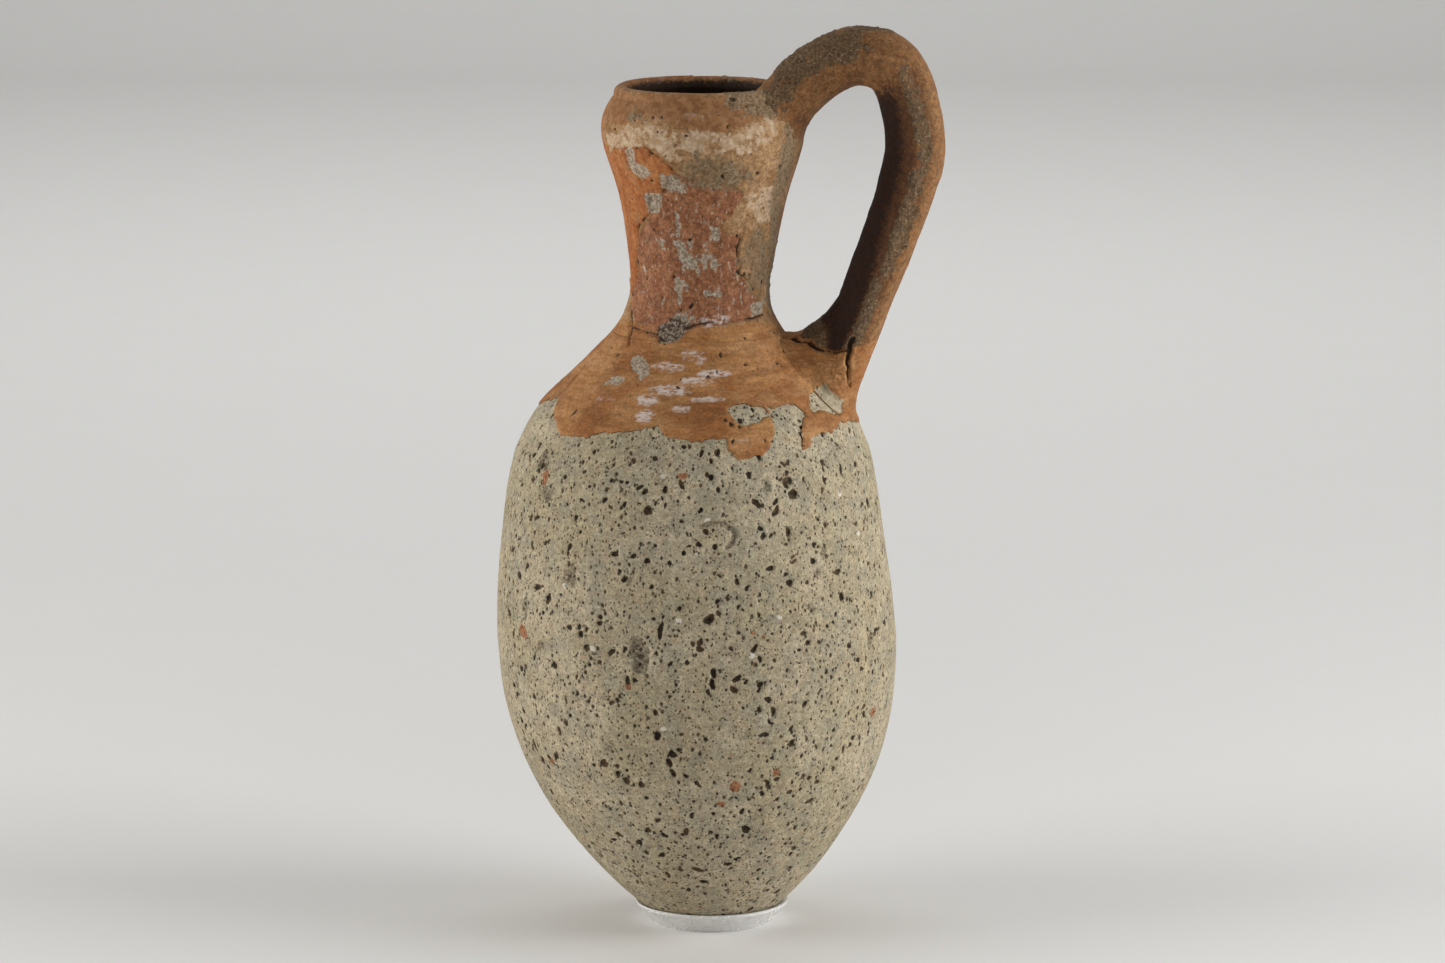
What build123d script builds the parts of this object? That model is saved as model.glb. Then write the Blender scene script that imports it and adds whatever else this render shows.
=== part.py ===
"""Single-handled jug (a small amphora form) of coil-built, low-fired clay, standing in a clear display ring.

The jug is built as a potter builds it: a base disc, a lower and an upper wall, a shoulder, a neck and
an inturned rim, each raised separately and luted edge to edge, then a pulled handle pressed onto the
rim and the shoulder and bedded there in two pads of soft clay. A thin fired skin of finer orange clay
survives on the shoulder. The jug lifts straight up out of its ring.

Millimetres. +Z is up, the origin is on the table at the centre of the ring, and the handle is at +X.
"""

from build123d import *
import math
import os

# ---- driving dimensions -------------------------------------------------------------------------
# The jug's outline is shaped by six rings, each with a radius and its height above the ring below.
FOOT_RADIUS = 17.0  # flat underside of the base disc
FOOT_LIFT = 1.4  # the underside hangs this far above the table, in the display ring
BELLY_RADIUS = 62.0
BELLY_HEIGHT = 90.6
SHOULDER_RADIUS = 50.6  # where the wall turns in
SHOULDER_HEIGHT = 68.0
NECK_RADIUS = 21.8  # the waist of the neck
NECK_HEIGHT = 40.0
RIM_RADIUS = 31.0  # the bulge of the rim
RIM_HEIGHT = 48.5
MOUTH_RADIUS = 23.6  # outer edge of the lip's crest
MOUTH_HEIGHT = 13.9

# The pot isn't true: how far each ring's centre lies along X from the foot's centre.
BELLY_LEAN = -4.8
SHOULDER_LEAN = -6.2
NECK_LEAN = -3.4

# Walls, measured square to the surface.
BODY_WALL = 5.6
NECK_WALL = 4.6
RIM_WALL = 6.4
LIP_WIDTH = 4.4  # flat crest of the lip before it is rounded
LIP_ROUND = 1.2
FLOOR = 7.0  # thickness of the base disc
SKIN = 0.8  # the fired skin on the shoulder

# Luted joints between the courses. The lowest is at the floor and the next is at the belly.
SHOULDER_SEAM_DROP = 16.0  # below the shoulder's turn
SKIN_EDGE_DROP = 2.0  # below the shoulder's turn
NECK_SEAM_DROP = 13.5  # below the waist of the neck
RIM_SEAM_DROP = 12.5  # below the bulge of the rim

# Handle: a pulled roll of slightly oval section in the XZ plane.
HANDLE_WIDTH = 20.0  # across the loop's plane
HANDLE_THICK = 18.2  # in the loop's plane, at the crown
HANDLE_THICK_LOW = 16.2  # the same, near the foot
HANDLE_REACH = 62.8  # outermost point of its centre line
HANDLE_RISE = 9.6  # crown of its centre line above the mouth
HANDLE_ROOT_DROP = 4.0  # where it enters the rim, below the mouth
HANDLE_FOOT_RISE = 9.0  # where it enters the shoulder, above the shoulder's turn
HANDLE_EMBED = 9.0  # how far the centre line runs on inside the wall before it is trimmed

# Luting pads: how far they spread past the handle at the wall, and how far they climb along it.
RIM_PAD_SIDE = 6.0  # spread across the loop's plane
RIM_PAD_SPREAD = 0.9  # spread in the loop's plane
RIM_PAD_INWARD = 0.0  # shift towards the inside of the loop
RIM_PAD_CLIMB = 0.15  # share of the handle's centre line
FOOT_PAD_SIDE = 8.0
FOOT_PAD_SPREAD = 4.5
FOOT_PAD_INWARD = 11.0
FOOT_PAD_CLIMB = 0.22
PAD_EDGE = 0.7  # thickness left at a pad's far end

# Display ring.
RING_HEIGHT = 6.4
RING_TOP_WALL = 1.0  # flat top of the ring, outside the jug
RING_BASE_WALL = 1.4  # flat underside
RING_TOP_LAND = 0.9  # straight part of the outside, above the bevel
FOOT_CLEARANCE = 0.6  # between the jug's foot and the ring's bore
SEAT_CLEARANCE = 0.4  # straight down, between the jug's wall and the ring's seat

# How many sections carry each lofted surface.
STATIONS = 30
HANDLE_STATIONS = 16
PAD_STATIONS = 5


# ---- heights above the table ----------------------------------------------------------------------
floor_z = FOOT_LIFT + FLOOR
belly_z = FOOT_LIFT + BELLY_HEIGHT
shoulder_z = belly_z + SHOULDER_HEIGHT
neck_z = shoulder_z + NECK_HEIGHT
rim_z = neck_z + RIM_HEIGHT
mouth_z = rim_z + MOUTH_HEIGHT

shoulder_seam_z = shoulder_z - SHOULDER_SEAM_DROP
skin_edge_z = shoulder_z - SKIN_EDGE_DROP
neck_seam_z = neck_z - NECK_SEAM_DROP
rim_seam_z = rim_z - RIM_SEAM_DROP


# ---- the jug's outline --------------------------------------------------------------------------
def between(low, high, share):
    return low + (high - low) * share


def body_point(share_r, share_z):
    """A point of the lower outline, as shares of the way from the foot to the belly."""
    return (
        between(FOOT_RADIUS, BELLY_RADIUS, share_r),
        between(FOOT_LIFT, belly_z, share_z),
    )


def neck_point(share_r, share_z):
    """A point of the shoulder's slope, as shares of the way from the shoulder's turn to the neck."""
    return (
        between(SHOULDER_RADIUS, NECK_RADIUS, share_r),
        between(shoulder_z, neck_z, share_z),
    )


outline = Spline(
    (FOOT_RADIUS, FOOT_LIFT),
    body_point(0.32, 0.15),
    body_point(0.585, 0.315),
    body_point(0.83, 0.535),
    (BELLY_RADIUS, belly_z),
    (between(BELLY_RADIUS, SHOULDER_RADIUS, 0.27), between(belly_z, shoulder_z, 0.5)),
    (between(BELLY_RADIUS, SHOULDER_RADIUS, 0.56), between(belly_z, shoulder_z, 0.8)),
    (SHOULDER_RADIUS, shoulder_z),
    neck_point(0.37, 0.3),
    neck_point(0.72, 0.56),
    neck_point(0.94, 0.78),
    (NECK_RADIUS, neck_z),
    (between(NECK_RADIUS, RIM_RADIUS, 0.15), between(neck_z, rim_z, 0.31)),
    (between(NECK_RADIUS, RIM_RADIUS, 0.62), between(neck_z, rim_z, 0.72)),
    (RIM_RADIUS, rim_z),
    (between(MOUTH_RADIUS, RIM_RADIUS, 0.62), between(mouth_z, rim_z, 0.33)),
    (MOUTH_RADIUS, mouth_z),
)

lean_line = Spline(
    (0, FOOT_LIFT),
    (between(0, BELLY_LEAN, 0.55), between(FOOT_LIFT, belly_z, 0.5)),
    (BELLY_LEAN, belly_z),
    (SHOULDER_LEAN, between(belly_z, shoulder_z, 0.8)),
    (NECK_LEAN, neck_z),
    (NECK_LEAN, mouth_z),
)


def at_height(curve, z):
    """The curve's point at height z. Both curves above rise all the way."""
    low, high = 0.0, 1.0
    for _ in range(40):
        middle = (low + high) / 2
        if (curve @ middle).Y < z:
            low = middle
        else:
            high = middle
    return curve @ low


def lean(z):
    return at_height(lean_line, z).X


def wall_x(z):
    """Where the outside of the jug is at height z, on the handle's side."""
    return at_height(outline, z).X + lean(z)


def wall(z):
    """Wall thickness at height z: the body's, thinning to the neck's, then swelling in the rim."""
    if z < shoulder_z:
        return BODY_WALL
    if z < neck_z:
        return between(BODY_WALL, NECK_WALL, (z - shoulder_z) / (neck_z - shoulder_z))
    swell = math.sin(math.pi / 2 * min(1.0, (z - neck_z) / (rim_z - neck_z)))
    return between(NECK_WALL, RIM_WALL, swell)


def ring_face(radius, z):
    """A filled circle at height z, centred where the pot is."""
    return Plane(origin=(lean(z), 0, z)) * Circle(radius)


def inset_point(share, depth):
    """Radius and height of a point that deep inside the outline, square to it."""
    here, along = outline @ share, outline % share
    return here.X - along.Y * depth, here.Y + along.X * depth


# ---- whole surfaces, later cut into the pieces ----------------------------------------------------
shares = [i / STATIONS for i in range(STATIONS + 1)]

envelope = loft([ring_face((outline @ s).X, (outline @ s).Y) for s in shares])

under_skin_rings = [inset_point(s, SKIN) for s in shares]
under_skin = loft([ring_face(r, z) for r, z in under_skin_rings if floor_z < z < rim_z])

inner_rings = [inset_point(s, wall((outline @ s).Y)) for s in shares]
inner_rings = [(r, z) for r, z in inner_rings if floor_z + BODY_WALL < z < rim_z]
floor_radius = inner_rings[0][0] - BODY_WALL
lip_inner = MOUTH_RADIUS - LIP_WIDTH
open_height = HANDLE_RISE + HANDLE_THICK  # kept clear above the mouth
hollow = loft(
    [
        ring_face(floor_radius, floor_z),
        *[ring_face(r, z) for r, z in inner_rings],
        ring_face(lip_inner, mouth_z),
    ]
)
shell = envelope - hollow
mouth_column = extrude(ring_face(lip_inner, mouth_z), open_height)


def slab(low, high):
    """Everything between two heights."""
    reach = 4 * (BELLY_RADIUS + HANDLE_REACH)
    return Pos(0, 0, (low + high) / 2) * Box(reach, reach, high - low)


# ---- pieces of the pot ----------------------------------------------------------------------------
def base_disc():
    return shell & slab(0, floor_z)


def lower_wall():
    return shell & slab(floor_z, belly_z)


def upper_wall():
    return shell & slab(belly_z, shoulder_seam_z)


def shoulder_skin():
    return (envelope - under_skin) & slab(skin_edge_z, neck_seam_z)


def shoulder():
    return (shell & slab(shoulder_seam_z, neck_seam_z)) - shoulder_skin()


def neck():
    return shell & slab(neck_seam_z, rim_seam_z)


def rim():
    piece = shell & slab(rim_seam_z, mouth_z)
    return fillet(piece.edges().group_by(Axis.Z)[-1], LIP_ROUND)


# ---- handle and its pads --------------------------------------------------------------------------
root_z = mouth_z - HANDLE_ROOT_DROP
crown_z = mouth_z + HANDLE_RISE
root_x = wall_x(root_z)
foot_z = shoulder_z + HANDLE_FOOT_RISE
foot_x = wall_x(foot_z)


def rise_point(share_x, share_z):
    """A point of the rising side, as shares from the root to the reach and the crown."""
    return between(root_x, HANDLE_REACH, share_x), 0, between(root_z, crown_z, share_z)


def drop_point(share_x, share_z):
    """A point of the falling side, as shares from the foot to the reach and the crown."""
    return between(foot_x, HANDLE_REACH, share_x), 0, between(foot_z, crown_z, share_z)


handle_line = Spline(
    (root_x - 0.8 * HANDLE_EMBED, 0, root_z - 0.75 * HANDLE_EMBED),
    rise_point(0.18, 0.54),
    rise_point(0.53, 1.0),
    rise_point(0.86, 0.64),
    drop_point(1.0, 0.77),
    drop_point(0.92, 0.62),
    drop_point(0.6, 0.39),
    drop_point(0.34, 0.22),
    (foot_x - 0.4 * HANDLE_EMBED, 0, foot_z - HANDLE_EMBED),
)


def handle_section(share, side=0.0, spread=0.0, inward=0.0):
    """The handle's oval section at a share of its centre line.

    It can be grown across the loop's plane (side) and in it (spread), and moved into the loop (inward).
    """
    thick = between(HANDLE_THICK, HANDLE_THICK_LOW, min(1.0, max(0.0, (share - 0.4) / 0.4)))
    plane = Plane(origin=handle_line @ share, x_dir=(0, 1, 0), z_dir=handle_line % share)
    oval = Ellipse(HANDLE_WIDTH / 2 + side, thick / 2 + spread)
    return plane * Pos(0, -inward, 0) * oval


handle_roll = loft([handle_section(i / HANDLE_STATIONS) for i in range(HANDLE_STATIONS + 1)])


def handle():
    return handle_roll - envelope - mouth_column


def pad(wall_end, far_end, side, spread, inward):
    """Clay smoothed round one end of the handle, widest at the wall."""
    sections = []
    for i in range(PAD_STATIONS + 1):
        climb = i / PAD_STATIONS
        left = (1 - climb) ** 2
        sections.append(
            handle_section(
                between(wall_end, far_end, climb),
                between(PAD_EDGE, side, left),
                between(PAD_EDGE, spread, left),
                inward * left,
            )
        )
    return loft(sections) - envelope - mouth_column - handle_roll


def rim_pad():
    return pad(0.0, RIM_PAD_CLIMB, RIM_PAD_SIDE, RIM_PAD_SPREAD, RIM_PAD_INWARD)


def foot_pad():
    return pad(1.0, 1.0 - FOOT_PAD_CLIMB, FOOT_PAD_SIDE, FOOT_PAD_SPREAD, FOOT_PAD_INWARD)


# ---- display ring ---------------------------------------------------------------------------------
def display_ring():
    """A clear ring whose inside fits the jug's lower wall, and whose outside is bevelled in below."""
    bore = FOOT_RADIUS + FOOT_CLEARANCE
    top = at_height(outline, RING_HEIGHT).X + RING_TOP_WALL
    section = make_face(
        Polyline(
            (bore, 0),
            (bore + RING_BASE_WALL, 0),
            (top, RING_HEIGHT - RING_TOP_LAND),
            (top, RING_HEIGHT),
            (bore, RING_HEIGHT),
            close=True,
        )
    )
    blank = revolve(Plane.XZ * section, Axis.Z)
    return blank - Pos(0, 0, -SEAT_CLEARANCE) * envelope


# ---- write ----------------------------------------------------------------------------------------
PIECES = (
    base_disc,
    lower_wall,
    upper_wall,
    shoulder,
    shoulder_skin,
    neck,
    rim,
    handle,
    rim_pad,
    foot_pad,
    display_ring,
)

if __name__ == "__main__":
    os.makedirs("parts", exist_ok=True)
    for piece in PIECES:
        export_step(piece(), f"parts/{piece.__name__}.step")
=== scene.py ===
"""Looks for the one-handled clay jug in its clear display ring.

Every wall of the jug is rebuilt from the CAD outline as a dense displaced mesh, so pits, chips, cracks
and the ragged edge of the fired skin are real relief. Colour follows the same fields, stored as point
attributes, and the finest grain comes from node materials. Lengths are in millimetres until a mesh is
written. The studio is in metres.
"""

import math

import bpy
import numpy as np
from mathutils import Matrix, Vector
from mathutils.bvhtree import BVHTree


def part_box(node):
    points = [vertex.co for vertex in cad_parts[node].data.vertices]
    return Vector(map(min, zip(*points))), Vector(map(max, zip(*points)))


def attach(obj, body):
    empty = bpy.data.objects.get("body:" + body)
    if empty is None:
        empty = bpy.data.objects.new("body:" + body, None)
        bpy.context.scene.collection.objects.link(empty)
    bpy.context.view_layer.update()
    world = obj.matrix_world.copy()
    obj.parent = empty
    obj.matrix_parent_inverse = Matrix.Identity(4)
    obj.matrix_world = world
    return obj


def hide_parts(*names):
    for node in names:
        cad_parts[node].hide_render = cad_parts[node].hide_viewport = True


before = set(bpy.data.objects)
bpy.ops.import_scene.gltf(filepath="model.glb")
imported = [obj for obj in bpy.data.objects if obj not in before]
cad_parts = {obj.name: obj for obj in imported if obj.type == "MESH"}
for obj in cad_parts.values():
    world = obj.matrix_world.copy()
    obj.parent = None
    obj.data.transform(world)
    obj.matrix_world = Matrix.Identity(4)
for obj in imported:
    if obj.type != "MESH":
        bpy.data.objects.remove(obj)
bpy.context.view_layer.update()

MM = 0.001

# ---- camera and form ----
CAMERA_TURN = math.radians(9)  # how far the camera stands round from -Y towards the handle
CAMERA_PITCH = math.radians(10)
CAMERA_DISTANCE = 1813.0
CAMERA_LENS = 145.7
AIM_RIGHT = 3.4  # the aim point, to the image's right of the ring's centre
AIM_HEIGHT = 139.0
FRONT = math.radians(-90) + CAMERA_TURN  # the side of the jug that faces the camera

STEP = 0.46  # size of a mesh cell on the outside
INNER_STEP = 3.0  # size of a mesh row on the inside
SKIN_DEPTH = 0.55  # how far the bare wall lies under the fired skin
SKIN_UNDER = 0.55  # how far the skin's hidden face lies below the bare wall
SKIN_BEVEL = 0.35  # how far the skin's face rounds down at its edge
SKIN_LOWEST = 150.0  # height where the skin's mesh starts, below its lowest edge
TONGUE_RISE, TONGUE_DEPTH = 0.7, 1.6  # a course's hidden tongue: above its joint, and into the wall
LIP_INSIDE = 12.0  # how far over the lip the fine mesh runs
HANDLE_GIRTH = 57  # length round the handle
BURIED = 2.4  # most that the handle's ends reach under the wall's face
PAD_ROWS, PAD_COLUMNS = 74, 240
PIT_EDGE = 0.13  # half the width over which a pit's dark inside, partly dirt and partly painted shade, fades out at its rim
NO_EDGE = 3.0  # stands for a pit's or a crack's edge that is out of reach

WALLS = ("base_disc", "lower_wall", "upper_wall", "shoulder", "shoulder_skin", "neck", "rim")


# ---- noise ----
def lattice(cell, seed):
    """A fixed random value from -1 to 1 for each whole-number cell."""
    h = cell[..., 0] * 374761393 + cell[..., 1] * 668265263 + cell[..., 2] * 1440662683 + seed * 1274126177
    h &= 0xFFFFFFFF
    h = ((h ^ (h >> 13)) * 1274126177) & 0xFFFFFFFF
    h = ((h ^ (h >> 16)) * 2246822519) & 0xFFFFFFFF
    return ((h ^ (h >> 15)) & 0xFFFFFF) / 0x7FFFFF - 1.0


def value_noise(points, size, seed):
    """Smooth noise from -1 to 1 whose lumps are about size across."""
    p = points / size
    cell = np.floor(p).astype(np.int64)
    f = p - cell
    f = f * f * (3 - 2 * f)
    total = np.zeros(points.shape[:-1])
    for corner in np.ndindex(2, 2, 2):
        weight = np.ones(points.shape[:-1])
        for axis in range(3):
            weight = weight * (f[..., axis] if corner[axis] else 1 - f[..., axis])
        total += weight * lattice(cell + np.array(corner), seed)
    return total


def layered_noise(points, size, seed, layers=3):
    """Several sizes of value_noise, each half the size and strength of the last."""
    total, strength = 0.0, 1.0
    for layer in range(layers):
        total = total + strength * value_noise(points, size / 2**layer, seed + layer)
        strength /= 2
    return total


def smooth(low, high, value):
    """0 below low, 1 above high, smooth between."""
    t = np.clip((value - low) / (high - low), 0, 1)
    return t * t * (3 - 2 * t)


# ---- the jug's outline, read from the CAD walls ----
def walls_tree():
    """A ray-cast tree of all the CAD walls together, in millimetres."""
    verts, faces = [], []
    for name in WALLS:
        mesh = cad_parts[name].data
        start = len(verts)
        verts += [v.co / MM for v in mesh.vertices]
        faces += [[start + i for i in p.vertices] for p in mesh.polygons]
    return BVHTree.FromPolygons(verts, faces)


def top_of(name):
    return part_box(name)[1].z / MM


FOOT_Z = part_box("base_disc")[0].z / MM
FLOOR_Z = top_of("base_disc")
BELLY_Z = top_of("lower_wall")
SHOULDER_Z = top_of("upper_wall")
NECK_Z = top_of("shoulder")
RIM_Z = top_of("neck")
MOUTH_Z = top_of("rim")
LIP_ROUND = 3.2  # height of the rounded lip
LIP_SQUARE = 0.75  # 1 would make the lip's section round, and less makes it flatter on top
OUTER_ROWS, INNER_ROWS, LIP_ROWS = 520, 260, 22  # places where the outline is read
SMOOTHED = 9  # rows averaged, so that the CAD mesh's facets don't show


class Outline:
    """The jug's section, from the foot's corner up the outside, over the lip and down the inside.

    Points are measured along the outside by length, so fields keep their size wherever they lie.
    """

    def __init__(self):
        tree = walls_tree()
        far = 150.0

        def hit(x, z, way):
            return tree.ray_cast(Vector((x, 0, z)), Vector((way, 0, 0)), 2 * far)[0].x

        heights = np.linspace(FOOT_Z + 0.02, MOUTH_Z - LIP_ROUND, OUTER_ROWS)
        left = np.array([hit(-far, z, 1) for z in heights])
        right = np.array([hit(far, z, -1) for z in heights])
        blur, end = np.ones(SMOOTHED) / SMOOTHED, SMOOTHED // 2
        radius, lean = (right - left) / 2, (right + left) / 2
        radius[end:-end] = np.convolve(radius, blur, "valid")
        lean[end:-end] = np.convolve(lean, blur, "valid")
        self.lean_z, self.lean_x = heights, lean
        inner_heights = np.linspace(MOUTH_Z - LIP_ROUND, FLOOR_Z + 1.0, INNER_ROWS)
        inner = np.array([hit(self.lean(z), z, 1) - self.lean(z) for z in inner_heights])
        lip = []
        for turn in np.linspace(0, math.pi, LIP_ROWS)[1:-1]:
            share = (1 - math.cos(turn)) / 2
            height = MOUTH_Z - LIP_ROUND + LIP_ROUND * math.sin(turn) ** LIP_SQUARE
            lip.append((radius[-1] + (inner[0] - radius[-1]) * share, height))
        rings = [*zip(radius, heights), *lip, *zip(inner, inner_heights)]
        self.rz = np.array(rings)
        steps = np.hypot(*np.diff(self.rz, axis=0).T)
        self.s = np.concatenate([[0], np.cumsum(steps)])
        self.crest = self.s[len(heights) + len(lip) // 2]

    def lean(self, z):
        return np.interp(z, self.lean_z, self.lean_x)

    def at(self, s):
        """Radius and height at a length along the section."""
        return np.interp(s, self.s, self.rz[:, 0]), np.interp(s, self.s, self.rz[:, 1])

    def outside(self, z):
        """Length along the section where the outside is at height z."""
        rising = self.s <= self.crest
        return np.interp(z, self.rz[rising, 1], self.s[rising])

    def inside(self, z):
        """Length along the section where the inside is at height z."""
        falling = self.s >= self.crest
        return np.interp(-z, -self.rz[falling, 1], self.s[falling])

    def surface(self, theta, s):
        """Points and outward normals of the undisplaced wall."""
        r, z = self.at(s)
        dr = self.at(s + 0.4)[0] - self.at(s - 0.4)[0]
        dz = self.at(s + 0.4)[1] - self.at(s - 0.4)[1]
        size = np.maximum(np.hypot(dr, dz), 1e-9)
        c, n = np.cos(theta), np.sin(theta)
        point = np.stack([self.lean(z) + r * c, r * n, z + 0 * c], -1)
        normal = np.stack([c * dz / size, n * dz / size, -dr / size + 0 * c], -1)
        return point, normal

    def distance(self, points):
        """How far each point is outside the outer face, and the length along it of the nearest place."""
        face = self.rz[self.s <= self.crest]
        rho = np.hypot(points[..., 0] - self.lean(points[..., 2]), points[..., 1])
        flat = np.stack([rho, points[..., 2]], -1).reshape(-1, 2)
        nearest = np.argmin(((flat[:, None] - face[None]) ** 2).sum(-1), 1)
        way = face[np.minimum(nearest + 1, len(face) - 1)] - face[np.maximum(nearest - 1, 0)]
        out = np.stack([way[:, 1], -way[:, 0]], -1) / np.maximum(np.hypot(*way.T), 1e-9)[:, None]
        signed = ((flat - face[nearest]) * out).sum(-1)
        return signed.reshape(points.shape[:-1]), self.s[nearest].reshape(points.shape[:-1])


outline = Outline()


# ---- features on the wall ----
# A place on the wall is (degrees round from the camera's side towards the image's right, height).
def spot(degrees, z):
    return FRONT + math.radians(degrees), float(outline.outside(z))


def turned(theta, centre):
    """Angle from centre, from -pi to pi."""
    return (theta - centre + math.pi) % (2 * math.pi) - math.pi


def unrolled(theta, s, corners):
    """Grid and corner places as lengths across and along the wall, round the corners' middle."""
    spots = np.array([spot(*corner) for corner in corners])
    middle = spots[:, 0].mean()
    radius = outline.at(spots[:, 1].mean())[0]
    return turned(theta, middle) * radius, (spots[:, 0] - middle) * radius, spots[:, 1]


def segments_distance(px, py, x, y):
    """Distance from a chain of segments."""
    best = np.full(np.shape(px), 1e9)
    for x0, y0, x1, y1 in zip(x[:-1], y[:-1], x[1:], y[1:]):
        ex, ey = x1 - x0, y1 - y0
        t = np.clip(((px - x0) * ex + (py - y0) * ey) / (ex * ex + ey * ey + 1e-9), 0, 1)
        best = np.minimum(best, (px - x0 - t * ex) ** 2 + (py - y0 - t * ey) ** 2)
    return np.sqrt(best)


def within(px, py, x, y):
    """Whether each place is inside a closed shape."""
    inside = np.zeros(np.shape(px), bool)
    for x0, y0, x1, y1 in zip(x, y, np.roll(x, -1), np.roll(y, -1)):
        crosses = (y0 > py) != (y1 > py)
        inside ^= crosses & (px < (x1 - x0) * (py - y0) / (y1 - y0 + 1e-12) + x0)
    return inside


def polygon_distance(theta, s, corners):
    """Distance into a polygon of (degrees, height) corners, positive inside."""
    px, x, y = unrolled(theta, s, corners)
    edge = segments_distance(px, s, np.append(x, x[0]), np.append(y, y[0]))
    return np.where(within(px, s, x, y), 1, -1) * edge


def line_distance(theta, s, corners):
    """Distance from an open line of (degrees, height) corners."""
    px, x, y = unrolled(theta, s, corners)
    return segments_distance(px, s, x, y)


def blob(theta, s, degrees, z, wide, high):
    """1 at a place on the wall, falling to 0 at the size given."""
    t, centre = spot(degrees, z)
    dx = turned(theta, t) * outline.at(centre)[0] / wide
    dy = (s - centre) / high
    return smooth(1.0, 0.35, np.hypot(dx, dy))


class Pits:
    """Irregular holes in the clay: place, radius, stretch, turn, depth and shape."""

    def __init__(self):
        self.rows = []

    def add(self, theta, s, radius, stretch, turn, depth, wobble, seed):
        phases = [lattice(np.array([seed, k, 7]), 5) * math.pi for k in range(3)]
        self.rows.append((theta, s, radius, stretch, turn, depth, wobble, *phases))

    def place(self, rows, depth, wobble, shift=0):
        """Pits placed one by one, as rows of degrees, height, radius, stretch and turn."""
        for degrees, z, radius, stretch, turn in rows:
            self.add(*spot(degrees, z), radius, stretch, turn, depth, wobble, int(z * 10) + shift)

    def scatter(self, count, z_low, z_high, smallest, largest, seed, power=4.2):
        """Random pits, mostly small, spread evenly over the wall's area."""
        rng = np.random.default_rng(seed)
        s_low, s_high = outline.outside(z_low), outline.outside(z_high)
        widest = outline.rz[:, 0].max()
        for number in range(count):
            theta, s = rng.uniform(-math.pi, math.pi), rng.uniform(s_low, s_high)
            if rng.uniform() > outline.at(s)[0] / widest:
                continue
            radius = smallest + (largest - smallest) * rng.uniform() ** power
            stretch = 1 + 0.9 * rng.uniform() ** 2
            turn = math.pi / 2 + rng.normal(0, 0.7)
            depth, wobble = rng.uniform(0.7, 1.2), rng.uniform(0.08, 0.26)
            self.add(theta, s, radius, stretch, turn, depth, wobble, number + seed)

    def carve(self, theta, s):
        """Signed distance to the nearest pit's edge (negative inside) and the depth, on a regular grid."""
        edge = np.full((len(s), len(theta)), NO_EDGE)
        depth = np.zeros_like(edge)
        radii = outline.at(s)[0]
        t_step = theta[1] - theta[0]
        for pt, ps, rad, stretch, turn, deep, wobble, *phase in self.rows:
            reach = rad * stretch * 1.5 + 1.2
            i0, i1 = np.searchsorted(s, [ps - reach, ps + reach])
            if i0 >= i1:
                continue
            half = int(reach / (radii[i0:i1].min() * t_step)) + 1
            middle = int(round(((pt - theta[0]) % (2 * math.pi)) / t_step))
            cols = np.arange(middle - half, middle + half + 1) % len(theta)
            dx = turned(theta[cols], pt)[None] * radii[i0:i1, None]
            dy = (s[i0:i1] - ps)[:, None]
            ca, sa = math.cos(turn), math.sin(turn)
            along, across = (dx * ca + dy * sa) / stretch, -dx * sa + dy * ca
            bearing = np.arctan2(across, along)
            rim = rad * (
                1
                + wobble * np.sin(2 * bearing + phase[0])
                + wobble * 0.45 * np.sin(3 * bearing + phase[1])
                + wobble * 0.3 * np.sin(5 * bearing + phase[2])
            )
            d = np.hypot(along, across) - rim
            block = np.ix_(np.arange(i0, i1), cols)
            edge[block] = np.minimum(edge[block], d)
            bowl = np.clip((0.25 - d) / (0.7 * rad + 0.25), 0, 1) ** 0.8
            depth[block] = np.maximum(depth[block], deep * rad * bowl)
        return edge, depth


# ---- where the fired skin survives ----
SKIN_EDGE = [
    (-96, 163), (-86, 165), (-72, 168), (-61, 163), (-52, 159), (-40, 160), (-30, 161.7), (-22, 162),
    (-13, 164), (-8, 161), (3, 160.2), (11, 160.5), (13, 157), (16, 154.8), (24, 155), (28, 157.5),
    (30.5, 162), (31, 168.5), (43, 169), (47, 166), (43.5, 162), (41, 160.5), (41, 156.5), (44, 157),
    (46, 159.5), (55, 159), (63, 161), (75, 160), (90, 158),
]
BARE_WINDOWS = [
    [(14, 169), (20, 170), (28, 169), (32, 166.5), (24, 164.5), (18, 163.8), (15, 166)],
    [(51, 166), (58, 170), (70, 170.5), (74, 167), (70, 163), (61, 164.5)],
    [(118, 172), (131, 175), (140, 170), (133, 165), (121, 166)],
    [(-140, 170), (-128, 173), (-121, 169), (-126, 164), (-137, 165)],
]


def skin_corners():
    """The skin's ragged lower edge, all the way round. Behind the jug it is a wave with random steps."""
    rng = np.random.default_rng(31)
    behind = [
        (degrees, 162 + 4.5 * math.sin(math.radians(3.3 * degrees)) + rng.uniform(-3, 3))
        for degrees in np.linspace(100, 256, 24)
    ]
    return SKIN_EDGE + behind


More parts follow.
